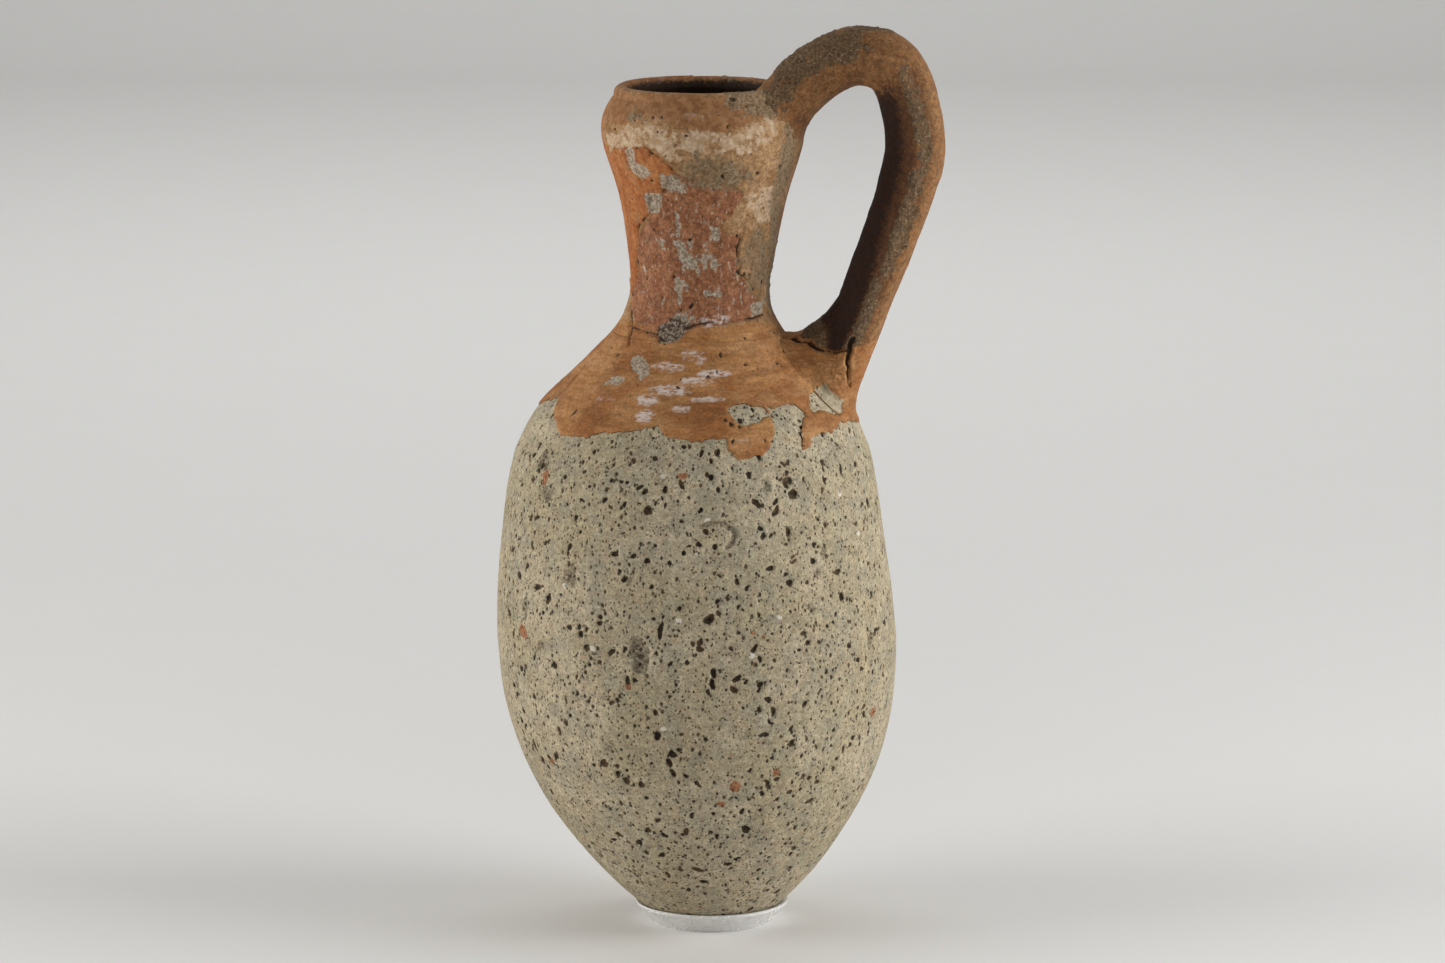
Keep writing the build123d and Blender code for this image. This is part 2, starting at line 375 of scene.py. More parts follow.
def skin_distance(theta, s, points):
    """Distance into the skin from its edge, positive where the skin survives."""
    corners = skin_corners()
    radius = outline.at(outline.outside(163.0))[0]
    # The edge doubles back in places, so it is measured unrolled, and runs on a little past both ends.
    x = np.radians([degrees - corners[0][0] for degrees, _ in corners]) * radius
    y = np.array([float(outline.outside(z)) for _, z in corners])
    turn = 2 * math.pi * radius
    x = np.concatenate([x[-3:] - turn, x, x[:3] + turn])
    y = np.concatenate([y[-3:], y, y[:3]])
    px = (theta - FRONT - math.radians(corners[0][0])) % (2 * math.pi) * radius
    roof = float(outline.outside(NECK_Z)) + 60
    inside = within(px, s, np.append(x, [x[-1], x[0]]), np.append(y, [roof, roof]))
    d = np.where(inside, 1, -1) * segments_distance(px, s, x, y)
    for window in BARE_WINDOWS:
        d = np.minimum(d, -polygon_distance(theta, s, window))
    return d + 0.8 * layered_noise(points, 3.2, 41) + 0.35 * layered_noise(points, 1.0, 47, 2)


# ---- relief and colour fields ----
def lumps(points):
    """The slow unevenness of hand-built walls, the same for every piece so that they stay in line."""
    return 0.34 * layered_noise(points, 34.0, 3, 2) + 0.10 * value_noise(points, 9.0, 9)


BODY_PITS = Pits()
BODY_PITS.place([
    (-46.5, 110, 1.0, 1.8, 1.5), (-9.5, 103.7, 0.95, 2.3, 1.5), (-12, 71, 1.2, 1.1, 0.3),
    (-8, 65.2, 1.15, 1.1, 1.0), (-30.5, 60.6, 1.15, 1.5, 0.7), (-59, 57, 1.0, 1.2, 0.9),
    (4.5, 107.4, 1.4, 1.25, 1.1), (2, 70.2, 0.6, 1.3, 0.2), (10.5, 85.7, 1.1, 1.1, 0.0),
    (4.5, 87.5, 1.0, 1.6, 1.6), (5, 91, 1.1, 1.2, 2.0), (-19, 54.6, 0.9, 1.4, 1.0),
    (-50, 60, 0.9, 1.6, 1.3), (56, 148, 0.85, 1.9, 1.6), (20.5, 141.5, 1.1, 1.5, 2.3),
    (30.5, 132.2, 1.0, 1.25, 1.5), (-8, 146, 0.95, 1.1, 0.5), (-13, 139.7, 1.15, 1.5, 1.7),
    (-13, 124.7, 0.85, 1.3, 1.4), (1.5, 98.4, 1.05, 1.1, 0.5), (17, 98, 0.9, 1.5, 1.0),
    (32.5, 147.4, 0.9, 1.9, 2.2), (29.5, 117, 1.0, 1.2, 1.4), (70, 136, 1.2, 1.2, 1.2),
    (18.5, 94.7, 0.75, 1.3, 1.6), (28, 67.4, 1.0, 1.3, 0.4), (20.5, 82, 0.95, 1.2, 0.2),
    (22, 78.5, 0.8, 1.7, 2.2), (15, 39.4, 1.1, 1.9, 2.3), (-23, 81.7, 0.7, 1.2, 0.5),
    (-44, 90, 0.9, 1.3, 1.4), (48, 118, 0.9, 1.7, 0.6), (31, 146.5, 0.9, 1.6, 1.9),
    (33.5, 143.2, 1.35, 1.4, 2.2), (32, 149.6, 0.6, 2.2, 1.3), (33.2, 152.8, 0.6, 1.8, 1.4),
    (29.5, 148, 0.6, 1.3, 0.7), (27, 141.5, 0.8, 1.4, 0.7), (47.3, 149.2, 0.55, 1.5, 1.5),
    (46.8, 146.2, 0.5, 2.8, 1.6), (45.5, 143.4, 0.6, 1.4, 1.4), (-4, 25, 1.0, 1.9, 2.9),
    (9, 27, 0.9, 1.3, 0.1), (-2, 20.5, 0.8, 1.8, 0.1), (-26, 34, 0.9, 1.5, 0.2), (-18, 30, 0.8, 1.7, 0.3),
    (-34, 36, 0.8, 1.3, 0.6), (24, 56, 0.8, 1.2, 1.0), (38, 47, 0.9, 1.6, 0.5),
    (-24, 96.5, 0.9, 1.3, 0.6), (-32, 97, 0.9, 1.5, 0.9), (-20, 97.5, 0.7, 1.4, 1.2),
    (-58, 133, 0.9, 1.2, 0.4), (-55, 133.5, 0.8, 1.6, 0.5), (3, 140, 0.75, 1.2, 0.3),
    (-16, 146.5, 0.7, 1.5, 0.6), (5, 150.5, 0.7, 1.2, 1.2),
], 0.9, 0.2)
BODY_PITS.scatter(3600, 4, 172, 0.34, 0.95, 101, 3.6)

CRATERS = Pits()
CRATERS.place([
    (-56, 150, 2.7, 1.2, 1.2), (-51, 141.5, 2.6, 1.3, 0.8), (-38, 118, 2.4, 1.3, 0.5),
    (-58, 105, 2.2, 1.3, 1.2), (-65, 80, 1.4, 2.2, 1.6), (-15.5, 96, 4.2, 1.2, 1.4),
    (-18.5, 118, 1.25, 1.1, 0.5), (40, 119, 1.4, 1.2, 0.5), (36, 108, 1.5, 1.4, 1.4),
    (24, 147, 1.8, 1.5, 0.6), (43, 125, 1.5, 1.3, 0.9), (-50, 95, 1.6, 1.5, 1.0),
    (-28, 66, 1.4, 1.3, 0.4), (60, 95, 1.6, 1.3, 1.2), (130, 120, 2.6, 1.3, 0.6),
    (-110, 90, 2.4, 1.4, 0.9), (165, 70, 2.2, 1.3, 1.2), (-150, 140, 2.5, 1.2, 0.4),
    (100, 60, 1.9, 1.5, 0.8),
], 0.3, 0.24, 1)

GRAINS = [
    (-4, 107), (25, 107), (53, 141), (-9, 150), (5, 137), (-40, 115), (16, 96), (-10, 73.5), (60, 128),
    (-30, 97),
]
PRINT_RING = [(3, 135), (6, 136.4), (10, 136), (13, 133.6), (12.6, 130.4), (10.5, 128.6)]
BODY_CRACK = [(-9, 38.8), (-4, 38.0), (0, 37.0), (6, 36.6), (12, 36.8)]


def body_fields(theta, s, points):
    """Relief and colour fields of the porous wall."""
    edge, depth = BODY_PITS.carve(theta[0], s[:, 0])
    shallow, dip = CRATERS.carve(theta[0], s[:, 0])
    ragged = layered_noise(points, 2.2, 67)
    rough = layered_noise(points, 0.95, 61, 2)
    relief = lumps(points) - depth - dip * (1 + 0.9 * rough)
    relief -= SKIN_DEPTH * smooth(SHOULDER_Z + 4, SHOULDER_Z + 12, points[..., 2])
    relief += 0.035 * ragged + 0.03 * rough
    stain = 0.75 * smooth(0.7, -0.9, shallow + 0.9 * ragged + 0.7 * rough)
    for degrees, z, wide, high, strength in [
        (-65, 80, 2.2, 4.5, 0.6), (-14, 152, 17, 12, 0.42), (-36, 159, 9, 6, 0.35), (38, 131, 9, 9, 0.2),
        (-9, 133, 7, 5, 0.25), (-47, 147, 7, 9, 0.35), (-12, 99, 9, 8, 0.35), (22, 60, 10, 7, 0.15),
        (4, 30, 16, 12, 0.22), (150, 120, 12, 9, 0.4), (200, 70, 11, 12, 0.4), (110, 60, 9, 7, 0.35),
    ]:
        stain = np.maximum(stain, strength * blob(theta, s, degrees, z, wide, high) * (0.7 + 0.5 * ragged))
    rust = np.zeros_like(relief)
    for degrees, z, wide, high in [
        (-58.5, 98, 3.8, 3.2), (-19.5, 86.4, 1.7, 1.8), (10.5, 54.4, 2.6, 2.9), (6, 49, 2.2, 1.3),
        (23.5, 58.4, 1.8, 2.2), (-2.5, 150.2, 2.2, 1.6), (-53, 146, 2.2, 4.0), (62, 72, 2.5, 2.0),
        (17, 103, 1.3, 1.2), (170, 90, 3, 2.4), (215, 130, 2.6, 3), (120, 100, 2, 2.4),
        (20, 101.5, 0.9, 0.9), (-53, 58, 2.0, 1.4),
    ]:
        near = blob(theta, s, degrees, z, wide, high) + 0.3 * ragged + 0.15 * rough
        rust = np.maximum(rust, smooth(0.35, 0.75, near))
    pale = np.zeros_like(relief)
    for degrees, z in GRAINS:
        pale = np.maximum(pale, smooth(0.3, 0.7, blob(theta, s, degrees, z, 1.35, 1.2) + 0.25 * rough))
    relief += 0.25 * pale
    print_edge = line_distance(theta, s, PRINT_RING) + 0.3 * ragged
    relief -= 0.6 * smooth(1.2, 0.1, print_edge)
    relief += 0.25 * blob(theta, s, 6, 132.5, 8, 5)
    stain = np.maximum(stain, smooth(1.1, 0.3, print_edge))
    crack = line_distance(theta, s, BODY_CRACK) + 0.2 * ragged + 0.1
    relief -= 0.4 * smooth(0.4, 0.0, crack)
    # The foot is left smooth where it stands in the ring, so that it keeps its clearance.
    standing = smooth(13.0, 8.0, points[..., 2])
    relief += standing * (0.3 * np.minimum(relief, 0) - 0.08 - relief)
    fields = {"pit": np.minimum(edge, crack), "stain": stain, "rust": rust, "pale": pale, "dark": 0 * relief}
    return relief, fields


FIRED_PITS = Pits()
FIRED_PITS.place([
    (-52, 165.5, 0.5, 2.6, 1.2), (14, 164.5, 0.6, 1.8, 2.2), (17, 163.8, 0.5, 1.5, 2.1),
    (66, 166, 0.5, 1.9, 2.2), (12, 165.6, 0.45, 1.6, 2.2), (62, 165, 0.45, 1.9, 2.3),
    (-24, 255.4, 0.45, 1.2, 0.2), (-9, 250.2, 0.5, 1.1, 0.4), (-26, 251, 0.4, 1.1, 0.4),
    (21, 260.6, 0.7, 1.6, 0.1), (35, 238, 0.6, 1.2, 0.2),
], 0.9, 0.2)
FIRED_PITS.scatter(260, 150, 186, 0.22, 0.6, 117)
FIRED_PITS.scatter(620, 187, 262, 0.22, 0.62, 131)

# Patches on the neck and the rim, as (degrees, height) corners.
ORANGE_FLAKE = [
    (-80, 246), (-63, 244.5), (-46, 246), (-33, 246), (-24, 243), (-17, 239), (-22.5, 237.4), (-26, 233),
    (-29, 231), (-41.5, 230.4), (-40, 225.4), (-48.5, 222), (-55, 220), (-61, 214), (-64, 206),
    (-72, 198), (-84, 200),
]
WORN = [
    (-26, 240), (-10, 237.5), (6, 236), (20, 234.5), (27, 231), (22, 226), (12, 221.5), (17, 219),
    (28, 218.5), (28, 210), (33, 206), (43, 201), (50, 199), (58, 196), (57, 192), (32, 192), (0, 190.5),
    (-12, 187.6), (-24, 186), (-40, 189), (-60, 192), (-76, 196), (-70, 208), (-60, 214), (-50, 221),
    (-42, 225), (-40, 231), (-30, 231.5),
]
CREAM = [
    (-70, 248), (-57, 249.4), (-50, 250.8), (-37, 252.7), (-34.5, 256), (-29, 253.4), (-16, 252.9),
    (-5, 250.8), (6, 250.4), (17, 249.4), (27, 252.2), (40, 254.4), (48, 253.4), (48, 249.9), (37, 246),
    (31, 243), (24, 242.4), (17, 245.7), (8, 244.4), (-3, 245.6), (-13, 242.8), (-19, 241.6),
    (-26, 246.1), (-37, 246), (-56, 245.5), (-72, 244),
]
CREAM_RIGHT = [
    (27, 230.7), (36, 233.4), (45, 235.4), (58, 232), (62, 225), (55, 220.9), (44, 222.5), (39, 225),
    (30, 227.4),
]
OLIVE_LOW = [(31, 217), (40, 222), (56, 219), (64, 212), (66, 200), (52, 198), (42, 204), (33, 209)]
OLIVE = [
    (-15, 240), (-6, 243.4), (6, 244), (17, 243), (32, 239), (33, 236), (19, 232.5), (9, 233.9),
    (-3, 235.7), (-14, 236.4),
]
RIM_BROWN = [
    (-100, 262), (-60, 262), (0, 262), (49, 262), (56, 256), (40, 255), (27, 253), (6, 251.4),
    (-16, 253.4), (-30, 255), (-46, 253), (-57, 252), (-80, 252.4), (-100, 255),
]
GREY_FLAKES = [
    [(-51, 245), (-43, 245), (-42, 242), (-34, 238), (-40, 237), (-48, 238), (-50, 241)],
    [(-26, 237.4), (-15, 236.6), (-14, 233), (-21, 232), (-27, 234)],
    [(-41, 230.6), (-29, 231.4), (-33, 226.5), (-40, 225)],
    [(-20, 216.6), (-13, 216), (-5, 209.7), (-10, 207), (-18, 211)],
    [(5, 222.6), (13, 219.2), (11, 216.2), (6, 219.5)],
    [(7, 212.6), (13, 208.2), (8, 207)],
    [(-19, 204.6), (-15, 203.6), (-17.5, 198.5)],
    [(4, 201.5), (20, 201.7), (19, 199.7), (5, 200)],
    [(46, 196.8), (64, 196.6), (60, 193), (46, 193.2)],
    [(-40, 181.6), (-34, 182), (-23, 178), (-26, 176.2), (-34, 178)],
    [(-47, 174.2), (-44, 176.2), (-37, 175.6), (-38, 173.6)],
    [(-36, 218), (-32, 217), (-34, 214)],
    [(0, 213), (4, 212), (2, 208)],
    [(150, 238), (165, 240), (172, 232), (158, 229)],
    [(-120, 214), (-108, 216), (-104, 209), (-114, 206)],
]
GRIT_BY_HANDLE = [(66, 262), (62, 251), (57, 243), (61, 234), (63, 225), (74, 212), (76, 198)]
GRIT_ON_LIP = [(26, 262), (40, 261), (60, 258)]
DARK_BASE = [(-31, 190.6), (-22, 193.4), (-3, 192.8), (-9, 190.2), (-13.5, 188), (-21, 186.3), (-27, 187)]
CHALK_LINE = [(-2, 193), (8, 194), (24, 193.2), (19, 191), (3, 190.3)]
CHALK = [
    (-15, 179.5, 7, 2.6), (-4, 183, 4, 3.2), (2, 182, 3, 3), (-12, 173.5, 8, 2.6), (0, 175.5, 7, 2.2),
    (-20, 171, 5, 3), (-5, 168.4, 4, 1.8), (9, 178, 6, 1.8), (-19, 166.5, 3.5, 3), (5, 171, 7, 1.2),
]
FIRED_CRACKS = [
    [(29, 217.5), (27.5, 213.4), (29.5, 210.2), (32.5, 208.4), (30, 207), (40, 204.4), (48.5, 201)],
    [(-69, 194), (-57.5, 190), (-49, 184.7)],
    [(-60, 189.6), (-49, 189.2), (-30, 188.5), (-22, 186.2)],
    [(-9, 190.6), (1, 192), (14, 192.4)],
    [(30, 193), (44, 192.6), (60, 193)],
    [(-44, 236), (-38, 233), (-40, 228)],
    [(-76, 177), (-73, 172), (-74, 168)],
    [(150, 215), (156, 205), (150, 199)],
]


def fired_fields(theta, s, points):
    """Relief and colour fields of the fired skin on the shoulder, the neck and the rim."""
    z = points[..., 2]
    edge, depth = FIRED_PITS.carve(theta[0], s[:, 0])
    ragged = layered_noise(points, 3.4, 151)
    mid = layered_noise(points, 1.7, 153, 2)
    fine = layered_noise(points, 0.9, 157, 2)
    broad = layered_noise(points, 24.0, 163, 2)
    brushed = layered_noise(points * np.array([0.25, 0.25, 1.6]), 4.0, 73)
    away = smooth(66, 96, np.abs(np.degrees(turned(theta, FRONT))))
    up = smooth(NECK_Z + 2, NECK_Z + 7, z)

    uneven = 0.8 * ragged + 0.5 * mid + 0.25 * fine

    def patch(corners, rag, soft, grow=0.0):
        d = polygon_distance(theta, s, corners) + grow
        return smooth(-soft, soft, d + rag * uneven)

    def only_front(value, behind):
        return value * (1 - away) + behind * away

    neck_back = smooth(234, 228, z + 5 * broad) * up
    orange = only_front(patch(ORANGE_FLAKE, 0.5, 0.35), smooth(0.1, 0.3, broad + 0.2 * ragged) * up)
    worn = only_front(patch(WORN, 0.9, 0.5), neck_back * smooth(0.1, -0.1, broad + 0.2 * ragged))
    worn *= 1 - orange
    cream = np.maximum(patch(CREAM, 1.5, 1.3), patch(CREAM_RIGHT, 2.0, 1.6))
    cream = only_front(cream, 0.8 * smooth(3.2, 1.0, np.abs(z - 247.5 + 3 * broad) + ragged))
    cream *= 0.3 + 0.7 * smooth(-0.6, 0.25, mid + 0.6 * ragged + 0.3 * fine)
    olive = np.maximum(patch(OLIVE, 2.2, 2.2), 0.75 * patch(OLIVE_LOW, 2.4, 2.0))
    olive = only_front(olive, smooth(0.35, 0.7, 0.5 * ragged - broad) * up)
    brown = only_front(patch(RIM_BROWN, 1.4, 1.2), smooth(251, 255, z + 2 * ragged))
    brown = np.maximum(brown, 0.8 * blob(theta, s, -74, 168, 11, 6) * (0.8 + 0.4 * ragged))
    grey = np.zeros_like(z)
    for corners in GREY_FLAKES:
        grey = np.maximum(grey, patch(corners, 1.5, 0.3, 0.1))
    upright = layered_noise(points * np.array([1.0, 1.0, 0.5]), 2.2, 167)
    grey = np.maximum(grey, worn * smooth(0.62, 0.8, upright + 0.35 * fine) * 0.8)
    dark_base = patch(DARK_BASE, 1.0, 0.6, 0.4)
    grit = smooth(8.0, 1.5, line_distance(theta, s, GRIT_BY_HANDLE))
    grit = np.maximum(grit, smooth(9, 3, line_distance(theta, s, GRIT_ON_LIP)))
    grit = np.maximum(grit, 0.75 * olive)
    grit = np.maximum(grit, 0.7 * blob(theta, s, -44, 256, 5, 5))
    grit = smooth(0.2, 0.85, grit + 0.45 * ragged + 0.25 * fine - 0.1) * smooth(0.02, 0.2, grit)
    chalk = patch(CHALK_LINE, 1.0, 0.6) * smooth(-0.2, 0.3, fine)
    for degrees, height, wide, high in CHALK:
        smear = blob(theta, s, degrees, height, wide * 1.3, high * 1.4) + 0.45 * brushed + 0.3 * fine
        chalk = np.maximum(chalk, smooth(0.42, 1.05, smear))
    thin = smooth(0.85, 1.15, brushed + 0.3 * fine)
    chalk = np.maximum(chalk, 0.5 * smooth(40, 20, np.abs(z - 172)) * thin * (1 - up))
    cracks = np.full_like(z, 9.0)
    for line in FIRED_CRACKS:
        cracks = np.minimum(cracks, line_distance(theta, s, line))
    flake_edge = np.abs(polygon_distance(theta, s, ORANGE_FLAKE) + 0.5 * uneven - 0.2)
    cracks = np.minimum(cracks, flake_edge + 0.2 + 0.35 * mid + 9 * away)
    cracks += 0.3 * ragged + 0.15 * fine - 0.22
    relief = lumps(points) - depth + 0.05 * brushed * (1 - up) + 0.02 * fine
    relief -= 0.42 * worn + 0.2 * grey + 0.25 * dark_base
    relief += 0.10 * worn * mid + 0.05 * worn * fine
    relief += 0.22 * grit * (0.5 + fine) + 0.2 * orange * up
    relief -= 0.5 * smooth(0.45, 0.0, cracks)
    inner = smooth(0.3, 3.6, s - outline.crest)  # painted shade: the mouth is painted dark from just inside the lip
    fields = {
        "pit": np.minimum(edge, cracks), "orange": np.maximum(orange, 1 - up), "worn": worn,
        "cream": cream * up, "olive": olive * up, "brown": brown, "grey": grey, "sooty": dark_base,
        "grit": grit * up, "chalk": chalk, "dark": inner,
    }
    return relief, fields


# ---- meshes ----
def add_object(name, data):
    thing = bpy.data.objects.new(name, data)
    bpy.context.scene.collection.objects.link(thing)
    return thing


def write_mesh(name, points, corners, starts, smooth_faces, places, fields):
    """A piece from its points, each face's corners and UV places, and its point fields."""
    mesh = bpy.data.meshes.new(name)
    mesh.vertices.add(len(points))
    mesh.vertices.foreach_set("co", (points * MM).astype(np.float32).ravel())
    mesh.loops.add(len(corners))
    mesh.loops.foreach_set("vertex_index", corners.astype(np.int32))
    mesh.polygons.add(len(starts))
    mesh.polygons.foreach_set("loop_start", starts.astype(np.int32))
    mesh.polygons.foreach_set("use_smooth", smooth_faces)
    mesh.uv_layers.new(name="OFBake").data.foreach_set("uv", places.astype(np.float32).ravel())
    for key, values in fields.items():
        attribute = mesh.attributes.new(key, "FLOAT", "POINT")
        attribute.data.foreach_set("value", values.astype(np.float32).ravel())
    mesh.update(calc_edges=True)
    mesh.validate()
    return add_object(name, mesh)


def make_mesh(name, rings, fields, flat_rows=(), closed=True, strips=1):
    """A piece from rings of points, one ring a row. Closed pieces join the last ring to the first.

    flat_rows are the rows of faces that aren't shaded smooth, where the surface turns a hard corner.
    """
    rows, cols, _ = rings.shape
    here = np.arange(rows if closed else rows - 1)
    there = (here + 1) % rows
    i, j = np.meshgrid(here, np.arange(cols), indexing="ij")
    k = np.broadcast_to(there[:, None], i.shape)
    right = (j + 1) % cols
    quads = np.stack([i * cols + j, i * cols + right, k * cols + right, k * cols + j], -1).reshape(-1, 4)
    u = np.stack([j, j + 1, j + 1, j], -1).reshape(-1, 4) / cols
    v = np.stack([i, i, i + 1, i + 1], -1).reshape(-1, 4) / len(here)
    # The map is cut into strips that lie one above another, each with a small gap round it.
    strip = np.floor((j.reshape(-1) / cols) * strips)[:, None]
    u, v = u * strips - strip, (v * 0.98 + strip + 0.01) / strips
    corners = quads.ravel()
    starts = np.arange(len(quads)) * 4
    places = np.stack([u, v], -1).reshape(-1, 2)
    smooth_faces = np.ones(len(quads), bool)
    for row in flat_rows:
        smooth_faces[row * cols : (row + 1) * cols] = False
    if not closed:
        caps = [np.arange(cols)[::-1], (rows - 1) * cols + np.arange(cols)]
        corners = np.concatenate([corners, *caps])
        starts = np.append(starts, [len(starts) * 4, len(starts) * 4 + cols])
        smooth_faces = np.append(smooth_faces, [True, True])
        # The end caps are inside the clay, so they get only a speck of the map each.
        turn = np.linspace(0, 2 * math.pi, cols, endpoint=False)
        disc = np.stack([0.5 + 0.004 * np.cos(turn), 0.004 + 0.003 * np.sin(turn)], -1)
        places = np.concatenate([places, disc, disc + np.array([0.0, 0.988])])
    return write_mesh(name, rings.reshape(-1, 3), corners, starts, smooth_faces, places, fields)


def around(radius):
    """Angles round the jug, one mesh cell apart at that radius."""
    count = 8 * int(2 * math.pi * radius / STEP / 8)
    return np.linspace(-math.pi, math.pi, count, endpoint=False)


def rows_between(low, high):
    """Places along the section, one cell apart. A close pair at each end keeps the joint's shading clean."""
    return np.concatenate([[low], np.linspace(low + 0.02, high - 0.02, int((high - low) / STEP)), [high]])


def padded(fields, before, after, dark=1.0):
    """The fields with plain rows added, for rings that carry no detail."""
    padded_fields = {}
    for key, values in fields.items():
        # The added rows' dark field is painted shade, full by default, as on the inside of the pot.
        pad = {"pit": NO_EDGE, "dark": dark}.get(key, 0.0)
        padded_fields[key] = np.pad(values, ((before, after), (0, 0)), constant_values=pad)
    return padded_fields


def outside_rings(theta, s, field):
    """Displaced rings and their fields for a stretch of the outside."""
    t_grid, s_grid = np.meshgrid(theta, s)
    points, normals = outline.surface(t_grid, s_grid)
    relief, fields = field(t_grid, s_grid, points)
    return points + normals * relief[..., None], fields, points, normals


def wall_piece(name, low, high, columns, field, lip=False, strips=2):
    """One course of the pot: its outside between two heights, and its inside."""
    s_low = outline.outside(low)
    s_high = outline.crest + LIP_INSIDE if lip else outline.outside(high)
    s = rows_between(s_low, s_high)
    rings, fields, _, _ = outside_rings(columns, s, field)
    count = int((high - low) / INNER_STEP)
    s_in = np.linspace(s_high if lip else outline.inside(high), outline.inside(low), count)
    inner, normals = outline.surface(*np.meshgrid(columns, s_in[1:] if lip else s_in))
    inner = inner + normals * (0.25 * layered_noise(inner, 9.0, 171))[..., None]
    parts, flat = [rings, inner], []
    if not lip:
        # A hidden tongue reaches up behind the next course, so no light gets through the joint.
        tongue, out = outline.surface(*np.meshgrid(columns, [s_high + TONGUE_RISE]))
        parts.insert(1, tongue - TONGUE_DEPTH * out)
        flat = [len(rings) - 1, len(rings)]
    all_rings = np.concatenate(parts)
    flat.append(len(all_rings) - 1)
    return make_mesh(name, all_rings, padded(fields, 0, len(all_rings) - len(rings)), flat, True, strips)


def base_piece(name, columns):
    """The base disc: flat underside, a short flared wall and a flat floor, all in one closed skin."""
    s = rows_between(outline.outside(FOOT_Z + 0.02), outline.outside(FLOOR_Z))
    rings, fields, _, _ = outside_rings(columns, s, body_fields)
    shares = np.linspace(0.02, 0.94, 12)
    under = [rings[0] * np.array([k, k, 1]) for k in shares]
    centre = np.array([outline.lean(FLOOR_Z), 0, 0])
    over = [(rings[-1] - centre) * np.array([k, k, 1]) + centre for k in shares[::-1]]
    over[0] = over[0] + np.array([0, 0, 0.7])
    all_rings = np.concatenate([under, rings, over])
    flat = [len(shares) - 1, len(shares) + len(rings) - 1]
    return make_mesh(name, all_rings, padded(fields, len(shares), len(shares)), flat, False, 1)


def skin_piece(name, columns):
    """The surviving skin: a thin shell with a ragged edge, lying over the shoulder."""
    s_low, s_high = outline.outside(SKIN_LOWEST), outline.outside(NECK_Z)
    s = np.linspace(s_low, s_high, int((s_high - s_low) / STEP))
    top, fields, points, normals = outside_rings(columns, s, fired_fields)
    inside = skin_distance(*np.meshgrid(columns, s), points)
    rows, cols = inside.shape
    bevel = smooth(0.0, 0.9, inside)
    top = top - normals * (SKIN_BEVEL * (1 - bevel))[..., None]
    under = points + normals * (lumps(points) - SKIN_DEPTH - SKIN_UNDER)[..., None]
    # Each point just outside the edge slides along to where the edge crosses its cell.
    best, best_under, best_value = np.zeros_like(top), np.zeros_like(top), np.full(inside.shape, -1e9)
    for di in (-1, 0, 1):
        for dj in (-1, 0, 1):
            near = np.roll(inside, (di, dj), (0, 1))
            if di:
                near[0 if di == 1 else -1] = -1e9
            better = near > best_value
            best_value = np.where(better, near, best_value)
            best = np.where(better[..., None], np.roll(top, (di, dj), (0, 1)), best)
            best_under = np.where(better[..., None], np.roll(under, (di, dj), (0, 1)), best_under)
    outside = (inside < 0) & (best_value > 0)
    share = np.where(outside, -inside / np.maximum(best_value - inside, 1e-6), 0)[..., None]
    top = top + (best - top) * share
    under = under + (best_under - under) * share
    good = inside > 0
    right = np.roll(np.arange(cols), -1)
    used = good | outside
    # A cell is kept when one of its corners is on the skin and the others reach its edge.
    cell = good[:-1] | good[1:] | good[:-1][:, right] | good[1:][:, right]
    cell &= used[:-1] & used[1:] & used[:-1][:, right] & used[1:][:, right]
    i, j = np.nonzero(cell)
    number = rows * cols
    corner = [i * cols + j, i * cols + right[j], (i + 1) * cols + right[j], (i + 1) * cols + j]
    top_quads = np.stack(corner, -1)
    under_quads = top_quads[:, ::-1] + number
    edges = dict.fromkeys((a, b) for quad in top_quads for a, b in zip(quad, np.roll(quad, -1)))
    sides = np.array([(b, a, a + number, b + number) for a, b in edges if (b, a) not in edges])
    quads = np.concatenate([top_quads, under_quads, sides])
    used_ids, index = np.unique(quads, return_inverse=True)
    index = index.reshape(quads.shape)
    co = np.concatenate([top.reshape(-1, 3), under.reshape(-1, 3)])[used_ids]
    cu = np.stack([j, j + 1, j + 1, j], -1) / cols
    cv = np.stack([i, i, i + 1, i + 1], -1) / rows
    half = np.floor(2 * j / cols)[:, None]
    # The map holds the face in two halves, then the underside and the edge in narrow bands above them.
    top_uv = np.stack([cu * 2 - half, cv * 0.42 + half * 0.44], -1)
    under_uv = np.stack([cu, 0.89 + cv * 0.04], -1)[:, ::-1]
    side_u = np.linspace(0, 1, len(sides) + 1)
    side_uv = np.stack(
        [
            np.stack([side_u[1:], side_u[:-1], side_u[:-1], side_u[1:]], -1),
            np.broadcast_to([0.96, 0.96, 0.99, 0.99], (len(sides), 4)),
        ],
        -1,
    )
    places = np.concatenate([top_uv, under_uv, side_uv])
    smooth_faces = np.arange(len(index)) < len(top_quads)
    fields["pit"] = np.minimum(fields["pit"], inside + 0.3 + 0.5 * layered_noise(points, 3.0, 59))
    fields = {key: np.tile(values.ravel(), 2)[used_ids] for key, values in fields.items()}
    starts = np.arange(len(index)) * 4
    return write_mesh(name, co, index.ravel(), starts, smooth_faces, places, fields)


# ---- handle ----
HANDLE_LINE = [
    (17.2, 251.6), (31.3, 265.7), (44.8, 272.0), (57.4, 267.1), (62.8, 248.3), (60.7, 232.9),
    (52.5, 209.2), (45.8, 191.7), (33.4, 160.0),
]
HANDLE_THICK = (9.1, 8.1)  # half its thickness in the loop's plane, at the crown and low down
HANDLE_WIDE = 10.0  # half its width across the loop's plane
HANDLE_SQUARE = 2.2  # 2 would make its section an ellipse, and more makes it squarer


